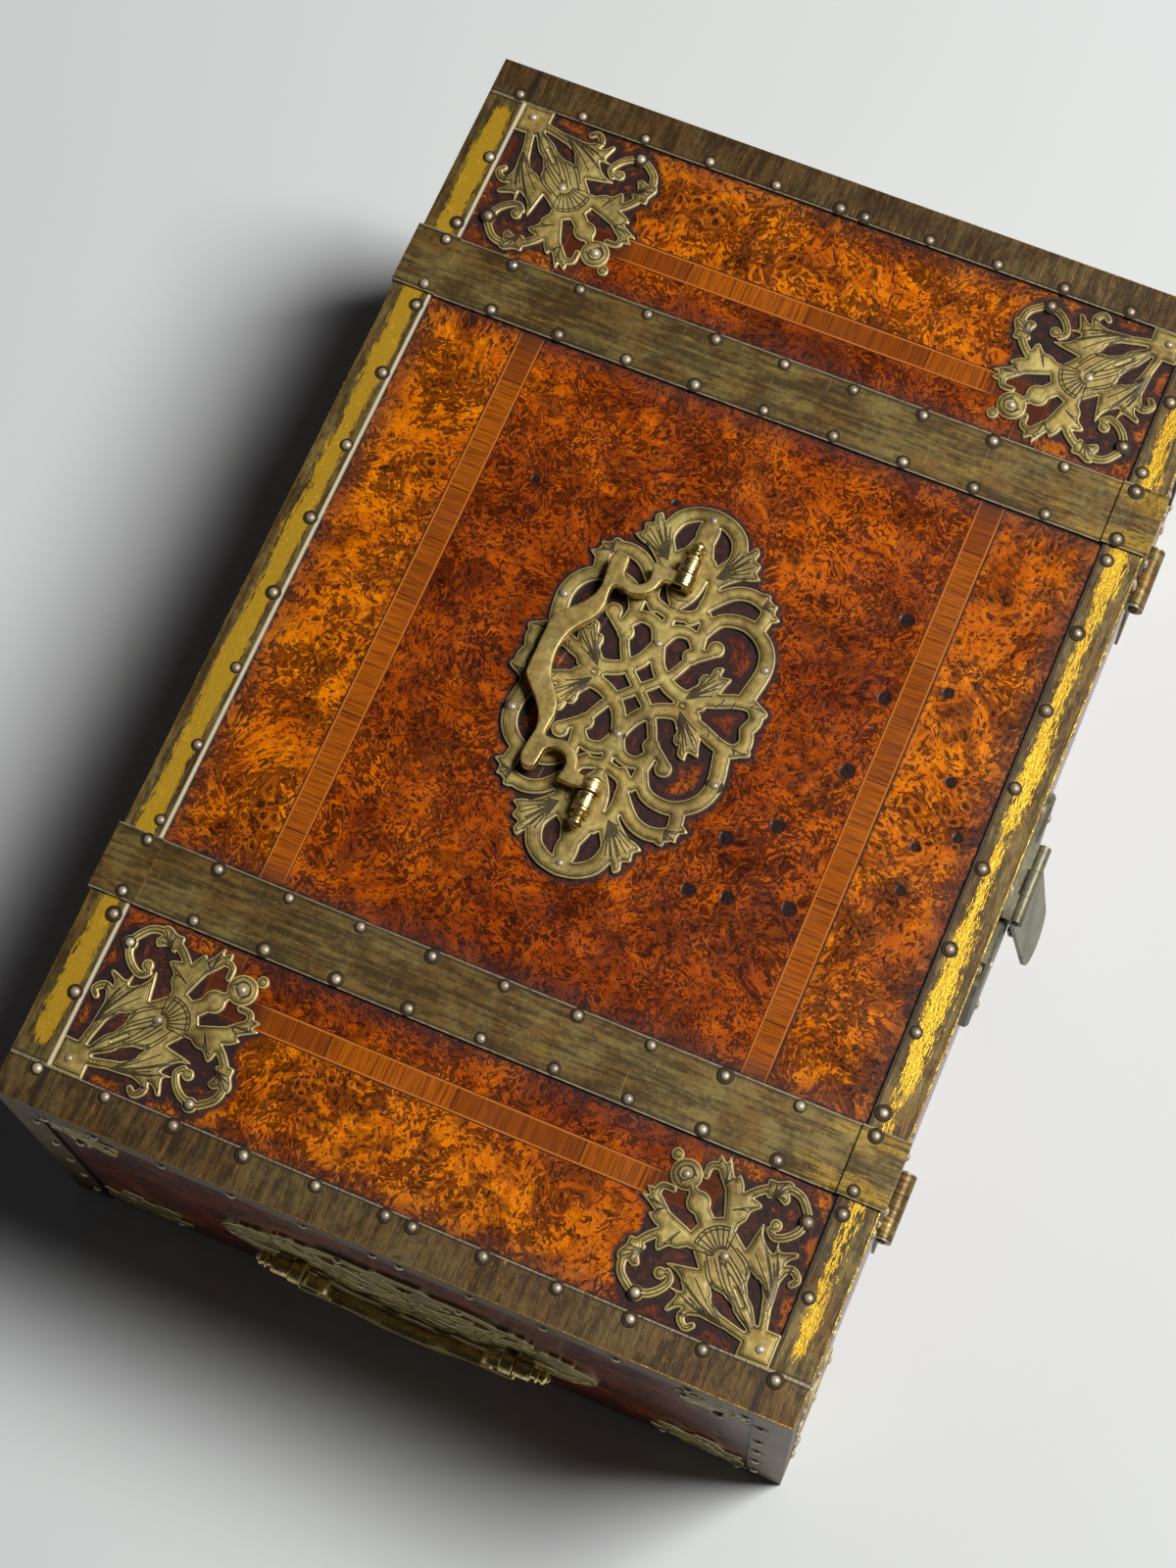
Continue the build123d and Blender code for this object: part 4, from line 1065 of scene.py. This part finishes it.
shapes = drawing(corner_ribbons, stem_leaves + corner_leaves, corner_knobs)
rim = [radians(-10 + 110 * step / 54) for step in range(55)]
fan = [(shell_radius + 0.5 * abs(sin(4.5 * t + 0.4)), t) for t in rim]
shell = [Vector((shell_middle + r * cos(t), shell_middle + r * sin(t))) for r, t in fan]
shapes.append([Vector((27, 27))] + shell)
shapes.append([Vector(corner) for corner in corner_foot])
strokes = half_and_mirror(corner_strokes())
corner_cut = CutOut(half_and_mirror(shapes), spacing=0.55, strokes=strokes)
print("corner mount:", len(corner_cut.triangles), "triangles")
for v, y_name in ((-1, "front"), (1, "back")):
    for u, x_name in ((-1, "left"), (1, "right")):
        corner = Matrix.Translation((u * x_field, v * y_field, z_veneer))
        place = corner @ Matrix.Diagonal((-u, -v, 1, 1))
        node = f"lid_{y_name}_{x_name}_mount"
        made = cast(f"chased_{node}", corner_cut, filed(1.2), flat, [place], "mount_brass", "lid")
        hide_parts(node)

# %% [markdown]
# ## The oval handle plates
#
# A quarter of the plate is drawn and mirrored both ways: a chain of C scrolls round the edge,
# with leaves at the ends, two knots on the middle line and palmettes above and below.

# %% Drawing of a handle plate, in millimetres from its middle
plate_ribbons = [
    ([(72.3, 0), (70.8, 6.5), (66.5, 11.8), (59, 13.6), (52, 10)], 5.0, 5.4),
    ([(66.5, 0), (62, 0), (52, 3.5), (42, 3.5), (35, 0)], 7.5, 4.0),
    ([(54, 5), (48, 9.5), (39, 10), (33.5, 8), (31, 1)], 4.6, 3.6),
    ([(39, 10), (46.5, 17), (48.6, 24.5), (45.5, 31.5), (38, 31)], 4.6, 4.6),
    ([(31, 7), (35, 12), (28, 13), (20, 14)], 3.0, 4.0),
    ([(28, 13), (35.5, 17.5), (37.3, 27), (32.5, 35.4), (24, 38.8), (12, 37)], 4.0, 5.6),
    ([(19, 0), (25.3, 3.6), (26, 10), (20, 14.5)], 4.6, 3.6),
    ([(19, 0), (11, 3), (6, 8), (3.4, 14), (3, 22)], 4.2, 5.4),
    ([(2.5, 15), (5.3, 25), (8.8, 34), (9.2, 40), (5, 43), (0, 41.5)], 4.8, 4.4),
    ([(0, 0), (8, 8), (18, 13)], 3.4, 2.6),
    ([(19, 0), (27, 0), (35, 0)], 4.2, 3.0),
    ([(18.6, 14), (22.8, 19.4)], 3.2, 3.0),
]
plate_leaves = [
    [(54, 9), (60, 11.5), (64.6, 14.2), (63.9, 16.2), (66.8, 18.4), (64.8, 20.4), (62, 19.9),
     (60.6, 22.6), (57.4, 22.2), (55.4, 24.4), (53.6, 21.4), (52.7, 18.4), (49.8, 14.7),
     (45.6, 10)],
    [(50, 27), (51.3, 30.2), (48.6, 31.2), (48.2, 34.2), (45.2, 34), (43, 36.8), (41, 31)],
    [(2, 13), (9, 18.5), (12.2, 18.6), (14, 21.2), (17.8, 22.4), (18.8, 25.4), (15.6, 25.6),
     (16, 29.4), (12.4, 28.4), (8, 27), (3, 21)],
    [(12, 36), (11, 41.6), (8.4, 46.4), (5, 43)],
]
plate_knobs = [(24.5, 19.8, 3.2), (18.4, 12.6, 3.2), (12.4, 21, 2.2)]
scroll_broader_mm = 0.9
mirrors = [(u, v) for u in (-1, 1) for v in (-1, 1)]


def quarters(shapes):
    """A drawing mirrored into all four quarters."""
    return [[Vector((u * p.x, v * p.y)) for p in shape] for shape in shapes for u, v in mirrors]


def plate_strokes():
    """Chased veins of the leaves, and the lines that bind the two knots."""
    lines = veins(plate_leaves, slice(1, -1), 0.5, (0.4, 0.3), 0.86)
    for along in (33, 36.5, 40, 43.5):
        lines.append([Vector((along, 0)), Vector((along + 1.2, 3.4))])
    for along in (29, 33, 37):
        lines.append(curve([(2, along - 3), (5, along), (8, along + 1)], 4))
    return lines


# %% Frames of the three handles
def handle_frame(origin, across, outwards):
    """Place of a handle: its pivots run across, its plate faces outwards."""
    across, outwards = Vector(across), Vector(outwards)
    turn = Matrix((across, outwards.cross(across), outwards)).transposed().to_4x4()
    return Matrix.Translation(origin) @ turn


handles = {"lid": handle_frame((0, 0, z_veneer), (1, 0, 0), (0, 0, 1))}
for side, name in ((-1, "left"), (1, "right")):
    origin = (side * x_end_face, 0, z_end_handle)
    handles[name] = handle_frame(origin, (0, -side, 0), (side, 0, 0))
plate_body = {"lid": "lid", "left": "chest", "right": "chest"}
plate_thickness = (plate_high.z - plate_low.z) / mm
print("handle plate thickness", round(plate_thickness, 2), "mm")

# %% Cut and place the handle plates
shapes = drawing(plate_ribbons, plate_leaves, plate_knobs, scroll_broader_mm)
plate_cut = CutOut(quarters(shapes), spacing=0.65, strokes=quarters(plate_strokes()))
print("handle plate:", len(plate_cut.triangles), "triangles")
for name, place in handles.items():
    node, face = f"{name}_handle_plate", filed(plate_thickness)
    body = plate_body[name]
    made = cast(f"chased_{node}", plate_cut, face, flat, [place], "mount_brass", body)
    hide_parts(node)

# %% [markdown]
# ## Wax and painted shade round the mounts
#
# With the drawings at hand, the two veneers under them can be told how near each of their points
# is to a mount. They are rebuilt at the size of the CAD veneer, with fine points only under and
# round the mounts, and store that nearness as a darkening of old wax and painted shade.

# %% Veneers that know where the mounts are
# How far the old wax and painted shade reach from a mount, and how softly they fade
wax_and_shade_reach_mm, wax_and_shade_reach_within_mm, wax_and_shade_soft_mm = 2.7, 4.4, 1.9
mount_square_mm, plate_half_oval_mm = 57, (68, 40)


def from_corner(point):
    """How far a point of the lid lies in from the two nearest straps, in millimetres."""
    return x_field / mm - abs(point.x), y_field / mm - abs(point.y)


def near_corner_mount(point):
    """Distance in millimetres from the nearest corner mount."""
    inwards = from_corner(point)
    if max(inwards) > 68 or min(inwards) < -3:
        return far_mm
    return nearest(corner_cut.edge_tree, inwards)


def near_plate(point):
    """Distance in millimetres from the handle plate."""
    if abs(point.x) > 80 or abs(point.y) > 52:
        return far_mm
    return nearest(plate_cut.edge_tree, point)


def wax_and_shade_at(point, gap):
    """Wax and painted shade at a point; both lie thicker in a mount's openings than outside."""
    across, up = plate_half_oval_mm
    in_plate = (point.x / across) ** 2 + (point.y / up) ** 2 < 1
    within = in_plate or max(from_corner(point)) < mount_square_mm
    reach = wax_and_shade_reach_within_mm if within else wax_and_shade_reach_mm
    return max(0.0, min(1.0, (reach - gap) / wax_and_shade_soft_mm))


def waxed_and_shaded(name, shapes, openings, near_mount, finish_name):
    """A veneer of its CAD node's size, storing wax and painted shade round the mounts."""
    low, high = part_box(f"lid_{name}")
    thickness = (high.z - low.z) / mm
    sheet = CutOut(shapes, openings, spacing=0.8, rows=(), keep=lambda at: near_mount(at) < 4)
    place = Matrix.Translation((0, 0, low.z))
    made = cast(f"waxed_{name}", sheet, lambda gap: thickness, flat, [place], finish_name, "lid")
    # Painted shade and old wax round the mounts, stronger in their openings
    store(made, "wax", [wax_and_shade_at(point, near_mount(point)) for point in sheet.points] * 2)
    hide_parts(f"lid_{name}")
    print(made.name, len(made.data.polygons), "faces")


def rectangle(low, high):
    """Outline in millimetres of a box seen from above."""
    x0, y0, x1, y1 = (value / mm for value in (low.x, low.y, high.x, high.y))
    return [Vector((x0, y0)), Vector((x1, y0)), Vector((x1, y1)), Vector((x0, y1))]


border, band = rectangle(border_low, border_high), rectangle(band_low, band_high)
waxed_and_shaded("border_veneer", [border], [band], near_corner_mount, "burl_veneer")
waxed_and_shaded("field_veneer", [rectangle(field_low, field_high)], [], near_plate, "field_veneer")

# %% [markdown]
# ## Smaller mounts on the sides
#
# The same leafy corner, in two smaller sizes, guards the corners of the lid's sides and of the
# foot. It sits in the corner beside the upright straps.

# %% Small mounts
small_size = 57
small_leaf = [
    (0, 0), (10, 1.5), (20, 2), (30, 7), (35, 3), (40, 5), (36, 12), (44, 16), (55, 19), (57, 31),
    (50, 29), (46, 36), (53, 44), (51, 51),
]
small_openings = [[(16, 9), (25, 12), (29, 22), (21, 17)], [(34, 19), (45, 22), (47, 28), (39, 27)]]


def small_mount(scale):
    """Cut-out of a small mount."""
    half = [Vector(point) * scale for point in small_leaf]
    outline = curve(half + [Vector((point.y, point.x)) for point in half[-2:0:-1]], 4, closed=True)
    holes = [[Vector(point) * scale for point in hole] for hole in small_openings]
    holes = half_and_mirror([curve(hole, 4, closed=True) for hole in holes])
    ribs = [[Vector((7, 4)) * scale, Vector(tip) * scale * 0.88] for tip in small_leaf[3:-1:2]]
    ribs.append([Vector((6, 6)) * scale, Vector((46, 46)) * scale])
    return CutOut([outline], holes, spacing=0.7, rows=(0.4,), strokes=half_and_mirror(ribs))


def side_places(z, way):
    """Places of the eight mounts of one row: two on each side of the box."""
    found = []
    for u, v in mirrors:
        on_side = (u * (x_out - corner_strap), v * -y_side_face, z)
        on_end = (u * x_end_face, v * (y_out - corner_strap), z)
        for origin, inwards, outwards in (
            (on_side, (-u, 0, 0), (0, v, 0)), (on_end, (0, -v, 0), (u, 0, 0))
        ):
            turn = Matrix((inwards, (0, 0, way), outwards)).transposed().to_4x4()
            found.append(Matrix.Translation(origin) @ turn)
    return found


small_rows = []
for node, body, way in (("lid_side_mounts", "lid", -1), ("foot_mounts", "chest", 1)):
    low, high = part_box(node)
    scale = (high.z - low.z) / mm / small_size
    places = side_places(high.z if body == "lid" else 0.5 * mm, way)
    face = filed(1.1, 0.15)
    made = cast(f"chased_{node}", small_mount(scale), face, flat, places, "mount_brass", body)
    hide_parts(node)
    small_rows.append((body, scale, places))
    print(node, "scale", round(scale, 2))

# %% [markdown]
# ## Turned posts and drop bails
#
# The posts are turned: a drum that holds the pivot, a neck, a ring and a small urn with a tip.
# A turned piece is its profile spun round an axis. The bail is sawn from thick sheet and then
# rounded with a file, so it is the same kind of cut-out as the mounts, with a round edge on both
# faces, and a turned collar at each end.


# %% Turned pieces
def spun(profile, sides=28):
    """Vertices and faces of a profile (along, radius) in millimetres, spun round its axis."""
    vertices, faces = [], []
    for along, radius in profile:
        for side in range(sides):
            turn = 2 * pi * side / sides
            vertices.append(Vector((along, radius * cos(turn), radius * sin(turn))))
    for row in range(len(profile) - 1):
        for side in range(sides):
            a, b = row * sides + side, row * sides + (side + 1) % sides
            faces.append([a, b, b + sides, a + sides])
    faces.append(list(range(sides))[::-1])
    faces.append(list(range((len(profile) - 1) * sides, len(profile) * sides)))
    return vertices, faces


def block(low, high):
    """Vertices and faces of a plain block between two corners, in millimetres."""
    x_pair, y_pair, z_pair = zip(low, high)
    vertices = [Vector((x, y, z)) for x in x_pair for y in y_pair for z in z_pair]
    faces = [[0, 1, 3, 2], [4, 6, 7, 5], [0, 4, 5, 1], [2, 3, 7, 6], [0, 2, 6, 4], [1, 5, 7, 3]]
    return vertices, faces


def gathered(name, parts, lift, place, body):
    """One object from a part and its mirror image, for each of several parts."""
    vertices, faces = [], []
    for (points, loops), part_lift in zip(parts, lift):
        for flip in (-1, 1):
            start = len(vertices)
            for point in points:
                spot_mm = Vector((point.x * flip, point.y, point.z + part_lift))
                vertices.append(place @ (spot_mm * mm))
            for loop in loops:
                faces.append([start + corner for corner in (loop[::-1] if flip < 0 else loop)])
    return piece(name, vertices, faces, "handle_brass", body)


bail_low, bail_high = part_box("lid_bail")
pivot_lift = ((bail_low.z + bail_high.z) / 2 - z_veneer) / mm
post_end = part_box("lid_handle_posts")[1].x / mm
post_start = post_end - 14.0
post_middle = post_start + 3.5
stem_half = 2.4
drum = 3.7
post_profile = [
    (0, 0.5), (0, 3.3), (0.4, drum), (0.9, drum), (1.1, 3.45), (1.4, drum), (5.6, drum),
    (5.9, 3.45), (6.2, drum), (6.7, drum), (7.0, 3.3), (7.3, 2.3), (7.9, 1.9), (8.5, 2.2),
    (8.8, 3.0), (9.3, 3.2), (9.7, 2.9), (10.0, 2.2), (10.5, 2.1), (11.1, 2.7), (11.8, 2.8),
    (12.5, 2.2), (12.9, 1.4), (13.4, 1.3), (13.8, 0.9), (14.0, 0.3),
]
post = spun([(post_start + along, radius) for along, radius in post_profile])
stem = block(
    (post_middle - stem_half, -stem_half, plate_thickness),
    (post_middle + stem_half, stem_half, pivot_lift),
)
for name, place in handles.items():
    node = f"{name}_handle_posts"
    made = gathered(f"turned_{node}", (post, stem), (pivot_lift, 0), place, plate_body[name])
    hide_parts(node)
print("posts from", round(post_start, 1), "to", round(post_end, 1), "mm off the middle")

# %% The bails
bail_outline = [
    (0, 38.4), (10.5, 38.4), (12.5, 37.8), (16, 34.6), (20.5, 30.4), (25, 27.6), (30, 26.5),
    (37, 27.4), (41.5, 27.4), (44.4, 25.2), (43.4, 21.6), (39.4, 20.8), (36, 20.2), (34.2, 17.4),
    (35, 13.6), (38, 11.5), (41.5, 12), (44.6, 12.5), (44.6, 6), (44.6, 0), (39.6, 0), (39.6, 4),
    (38.8, 6.8), (34.5, 8.4), (31.3, 11.6), (30.2, 16), (31, 20), (30.4, 22.6), (27, 22.7),
    (22, 22.4), (17, 23.9), (10, 28.9), (5, 30.8), (0, 31.4),
]
sharp = {
    (44.6, 12.5), (44.6, 6), (44.6, 0), (39.6, 0), (39.6, 4), (10.5, 38.4), (0, 38.4), (0, 31.4)
}


def through(points, corners):
    """Smooth curve through points, but straight into the corners."""
    path, run = [], [points[0]]
    for point in points[1:]:
        run.append(point)
        if point in corners:
            path += curve(run, 5)[:-1] if len(run) > 2 else [Vector(run[0])]
            run = [point]
    return path + [Vector(points[-1])]


right_half = through(bail_outline, sharp)
bail_loop = right_half + [Vector((-point.x, point.y)) for point in right_half[-2:0:-1]]
bail_rows = (0.3, 0.7)
bail_cut = CutOut([bail_loop], spacing=1.0, rows=bail_rows)
half_thick = (bail_high.z - bail_low.z) / mm / 2 * 2.5 / 4.4


def round_edge(gap):
    """Half thickness of the bail at a distance from its edge."""
    share = min(gap, bail_rows[1]) / bail_rows[1]
    return half_thick - 0.55 * (1 - sqrt(1 - (1 - share) ** 2))


collar = spun([
    (39.6, 1.0), (39.6, 4.1), (39.9, 4.4), (40.6, 4.4), (40.8, 4.2), (41.0, 4.4), (43.2, 4.4),
    (43.4, 4.2), (43.6, 4.4), (44.3, 4.4), (44.6, 4.1), (44.6, 1.0),
])
journal = spun([(44.5, 1.7), (49.0, 1.7)], 16)
for name, place in handles.items():
    lifted = place @ Matrix.Translation((0, 0, pivot_lift * mm))
    faces = (round_edge, lambda gap: -round_edge(gap))
    body = f"{name}_handle"
    made = cast(f"filed_{name}_bail", bail_cut, *faces, [lifted], "handle_brass", body)
    gathered(f"turned_{name}_collars", (collar, journal), (0, 0), lifted, body)
    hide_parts(f"{name}_bail")
print("bail is", round(2 * half_thick, 1), "mm thick")

# %% [markdown]
# ## Nails
#
# Some three hundred round-headed nails hold the brass down. They all share one shape, so
# Geometry Nodes make them: a tree turns every point of a small mesh into a nail head that looks
# along the point's own direction, a little larger or smaller by chance. The same tree also lays
# a dark ring round each head, part old dirt and part painted shade.


# %% The nail tree
def nail_tree():
    """Geometry nodes that set a low dome on every point."""
    tree = Work.tree = bpy.data.node_groups.new("round_headed_nails", "GeometryNodeTree")
    sockets = {}
    for label, kind, value in (
        ("Points", "NodeSocketGeometry", None),
        ("Head radius", VALUE, 0.002),
        ("Head height", VALUE, 0.0012),
        ("Spread of size", VALUE, 0.1),
        ("Sides", "NodeSocketInt", 12),
        ("Seed", "NodeSocketInt", 7),
        ("Finish", "NodeSocketMaterial", None),
    ):
        socket = tree.interface.new_socket(name=label, in_out="INPUT", socket_type=kind)
        if value is not None:
            socket.default_value = value
        sockets[label] = socket.identifier
    tree.interface.new_socket(name="Nails", in_out="OUTPUT", socket_type="NodeSocketGeometry")
    given = wires(tree.nodes.new("NodeGroupInput"))
    radius, spread = given["Head radius"], given["Spread of size"]
    head = put("GeometryNodeMeshUVSphere", Segments=given["Sides"], Rings=6, Radius=1.0).outputs[0]
    size = put("ShaderNodeCombineXYZ", X=radius, Y=radius, Z=given["Head height"]).outputs[0]
    head = put("GeometryNodeTransform", Geometry=head, Scale=size).outputs[0]
    vector = {"data_type": "FLOAT_VECTOR"}
    out = put("GeometryNodeInputNamedAttribute", vector, Name="out").outputs["Attribute"]
    turn = put("FunctionNodeAlignRotationToVector", {"axis": "Z"}, Vector=out).outputs[0]
    chance = put("FunctionNodeRandomValue", {"data_type": "FLOAT"}, Seed=given["Seed"])
    feed(chance.inputs[2], 1.0 - spread)
    feed(chance.inputs[3], spread + 1.0)
    placed = put(
        "GeometryNodeInstanceOnPoints", Points=given["Points"], Instance=head, Rotation=turn,
        Scale=chance.outputs[1],
    ).outputs[0]
    placed = put("GeometryNodeRealizeInstances", Geometry=placed).outputs[0]
    placed = put("GeometryNodeSetShadeSmooth", Geometry=placed).outputs[0]
    placed = put("GeometryNodeSetMaterial", Geometry=placed, Material=given["Finish"]).outputs[0]
    fill(tree.nodes.new("NodeGroupOutput"), Nails=placed)
    return tree, sockets


nails, nail_sockets = nail_tree()


def drive(name, spots, body, finish_name, **sizes):
    """Sets the tree on spots (place, direction) and turns the result into one plain mesh."""
    points = bpy.data.meshes.new(name + "_points")
    points.from_pydata([place for place, out in spots], [], [])
    outs = [value for place, out in spots for value in out]
    points.attributes.new("out", "FLOAT_VECTOR", "POINT").data.foreach_set("vector", outs)
    holder = stand(name + "_points", points)
    modifier = holder.modifiers.new("nails", "NODES")
    modifier.node_group = nails
    for label, value in {**sizes, "Finish": finishes[finish_name]}.items():
        modifier[nail_sockets[label.replace("_", " ")]] = value
    bpy.context.view_layer.update()
    ready = holder.evaluated_get(bpy.context.evaluated_depsgraph_get())
    mesh = bpy.data.meshes.new_from_object(ready)
    mesh.name = name
    holder.modifiers.remove(modifier)
    bpy.data.objects.remove(holder)
    made = stand(name, mesh)
    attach(made, body)
    print(name, len(spots), "nails,", len(mesh.polygons), "faces")


# %% [markdown]
# ## Where the nails sit
#
# The rows follow the straps: one row along each edge strap, two rows on each cross strap, and
# single rows down the corner straps. Spacing was counted from the photograph. Mounts and plates
# have a few nails each, always in the middle of a band, where the metal is widest.

# %% Rows of nails
up, out_x, out_y = Vector((0, 0, 1)), Vector((1, 0, 0)), Vector((0, 1, 0))
nail_rows = {"lid": [], "chest": []}


def nail(body, x, y, z, out):
    """Notes the place of one nail and the way that it looks."""
    nail_rows[body].append((Vector((x, y, z)), out))


def corner_nails(body, u, v, z):
    """Two nails at one height of a corner strap, one on each side."""
    from_corner_strap = 11 * mm
    nail(body, u * x_out, v * (y_out - from_corner_strap), z, u * out_x)
    nail(body, u * (x_out - from_corner_strap), v * y_out, z, v * out_y)


lap = 1.2 * mm
z_rim_row = z_lid - 10 * mm
row_y = y_field + 3.5 * mm
row_x = x_field + 2.5 * mm
for u, v in mirrors:
    nail("lid", u * row_x, v * row_y, z_lid, up)
    for x_mm in (16, 47.5, 79.5, 110, 147.5, 178):
        nail("lid", u * x_mm * mm, v * row_y, z_lid, up)
        nail("lid", u * x_mm * mm, v * y_out, z_rim_row, v * out_y)
    for y_mm in (5, 31, 58, 84.5, 110.5):
        nail("lid", u * row_x, v * y_mm * mm, z_lid, up)
        nail("lid", u * x_out, v * y_mm * mm, z_rim_row, u * out_x)
    corner_nails("lid", u, v, z_lid - 30 * mm)
    for z_mm in (14, 41, 68, 95):
        corner_nails("chest", u, v, z_mm * mm)
for u in (-1, 1):
    for x in (cross_inner + 2.6 * mm, cross_outer - 2.8 * mm):
        for index in range(11):
            y = (-137 + 27.4 * index) * mm
            nail("lid", u * x, y, z_lid + lap if abs(y) > y_field - lap else z_lid, up)
        for v in (-1, 1):
            nail("lid", u * x, v * (y_out + lap), z_rim_row, v * out_y)
            nail("lid", u * x, v * y_out, z_lid - 32 * mm, v * out_y)
        for z_mm in (98, 80):
            nail("chest", u * x, y_out, z_mm * mm, out_y)
    nail("chest", u * cross_middle, y_out, 60 * mm, out_y)
lock_low, lock_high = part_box("lock_plate")
for x in (lock_low.x, lock_high.x):
    for z in (lock_low.z, lock_high.z):
        inwards = Vector((-x, 0, (lock_low.z + lock_high.z) / 2 - z)).normalized() * 13 * mm
        nail("chest", *(Vector((x, lock_low.y, z)) + inwards), -out_y)
print({body: len(rows) for body, rows in nail_rows.items()}, "nails so far")

# %% Nails of the mounts and plates
for u, v in mirrors:
    for a, b in ((5, 5), (29, 27.5), (50.4, 6.3), (6.3, 50.4), (49.9, 49.9)):
        nail("lid", u * (x_field - a * mm), v * (y_field - b * mm), z_veneer + 1.3 * mm, up)
plate_nails_mm = [(-70.5, 0), (70.5, 0), (-18.6, 0), (18.6, 0)]
plate_nails_mm += [(u * 23.5, v * 39) for u, v in mirrors]
for name, place in handles.items():
    for x_mm, y_mm in plate_nails_mm:
        at = place @ (Vector((x_mm, y_mm, plate_thickness)) * mm)
        nail(plate_body[name], *at, place.to_3x3() @ up)
for body, scale, places in small_rows:
    for place in places:
        for a, b in ((5.5, 5.5), (50, 24), (24, 50)):
            at = place @ (Vector((a * scale, b * scale, 1.1)) * mm)
            nail(body, *at, (place.to_3x3() @ up).normalized())

# %% Drive them
for body, rows in nail_rows.items():
    drive(
        f"{body}_nails", rows, body, "nail_brass",
        Head_radius=1.8 * mm, Head_height=1.15 * mm, Seed=5,
    )
    # A thin dark ring under each head: old dirt and painted shade
    rings = [(place + out * 0.02 * mm, out) for place, out in rows]
    drive(
        f"{body}_nail_dirt", rings, body, "nail_dirt",
        Head_radius=2.75 * mm, Head_height=0.14 * mm, Spread_of_size=0.16, Sides=16, Seed=3,
    )

# %% [markdown]
# ## Floor, light and camera
#
# The box stands on a pale painted floor. One large soft lamp beyond its front right corner throws
# the long soft shadow to the left, and a weak even sky keeps the shadow from going black. The
# camera looks steeply down, turned so that the lid lies across the frame at a slant; its place
# was worked out from the four corners of the lid.

# %% Floor
shader = finish("floor_paint", Specular_IOR_Level=0.2)
cloud = noise(here(), 2.5, 4.0, 0.6)
fill(
    shader, Base_Color=mixed(cloud, (0.79, 0.81, 0.805), (0.83, 0.85, 0.845)),
    Roughness=fade(cloud, 0.3, 0.7, 0.55, 0.65),
)
floor_half = 6
mesh = bpy.data.meshes.new("floor")
corners = [(u * floor_half, v * floor_half, 0) for u, v in ((-1, -1), (1, -1), (1, 1), (-1, 1))]
mesh.from_pydata(corners, [], [[0, 1, 2, 3]])
mesh.materials.append(finishes["floor_paint"])
stand("floor", mesh)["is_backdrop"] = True


# %% Lamp and sky
def settle(data, **settings):
    """Sets several properties of new data."""
    for name, value in settings.items():
        setattr(data, name, value)
    return data


light_data = bpy.data.lights.new("window", "AREA")
settle(light_data, shape="SQUARE", size=1.1, energy=98, color=(1, 1, 0.99))
window = stand("window", light_data)
window.location = (0.78, -1.46, 2.6)
aim = Vector((0, 0, 0.08)) - window.location
window.rotation_euler = aim.to_track_quat("-Z", "Y").to_euler()
window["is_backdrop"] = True
sky = bpy.data.worlds.new("sky")
sky.use_nodes = True
background = sky.node_tree.nodes["Background"].inputs
background["Color"].default_value = (0.86, 0.9, 1.0, 1)
background["Strength"].default_value = 0.02
bpy.context.scene.world = sky
bpy.context.scene.view_settings.view_transform = "Standard"

# %% Camera
lens = bpy.data.cameras.new("camera")
settle(lens, sensor_fit="AUTO", sensor_width=36.0, lens=69.93, clip_start=0.05, clip_end=40.0)
camera = stand("camera", lens)
right = Vector((0.39344, -0.91881, -0.03152))
down = Vector((-0.87178, -0.36197, -0.33012))
forward = Vector((0.29191, 0.15736, -0.94341))
turn = Matrix((right, -down, -forward)).transposed().to_4x4()
camera.matrix_world = Matrix.Translation((-0.3532, -0.1665, 1.1728)) @ turn
bpy.context.scene.camera = camera
print("camera", [round(value, 3) for value in camera.location])

# %% [markdown]
# ## The size of the dressed box
#
# The dressed box has to stay inside the box of the CAD model. The sizes of both are printed.

# %% Sizes
low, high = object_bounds()
sizes = {"cad": [list(cad_low), list(cad_high)], "dressed": [list(low), list(high)]}
for name, (low, high) in sizes.items():
    print(name, [round(b - a, 4) for a, b in zip(low, high)])
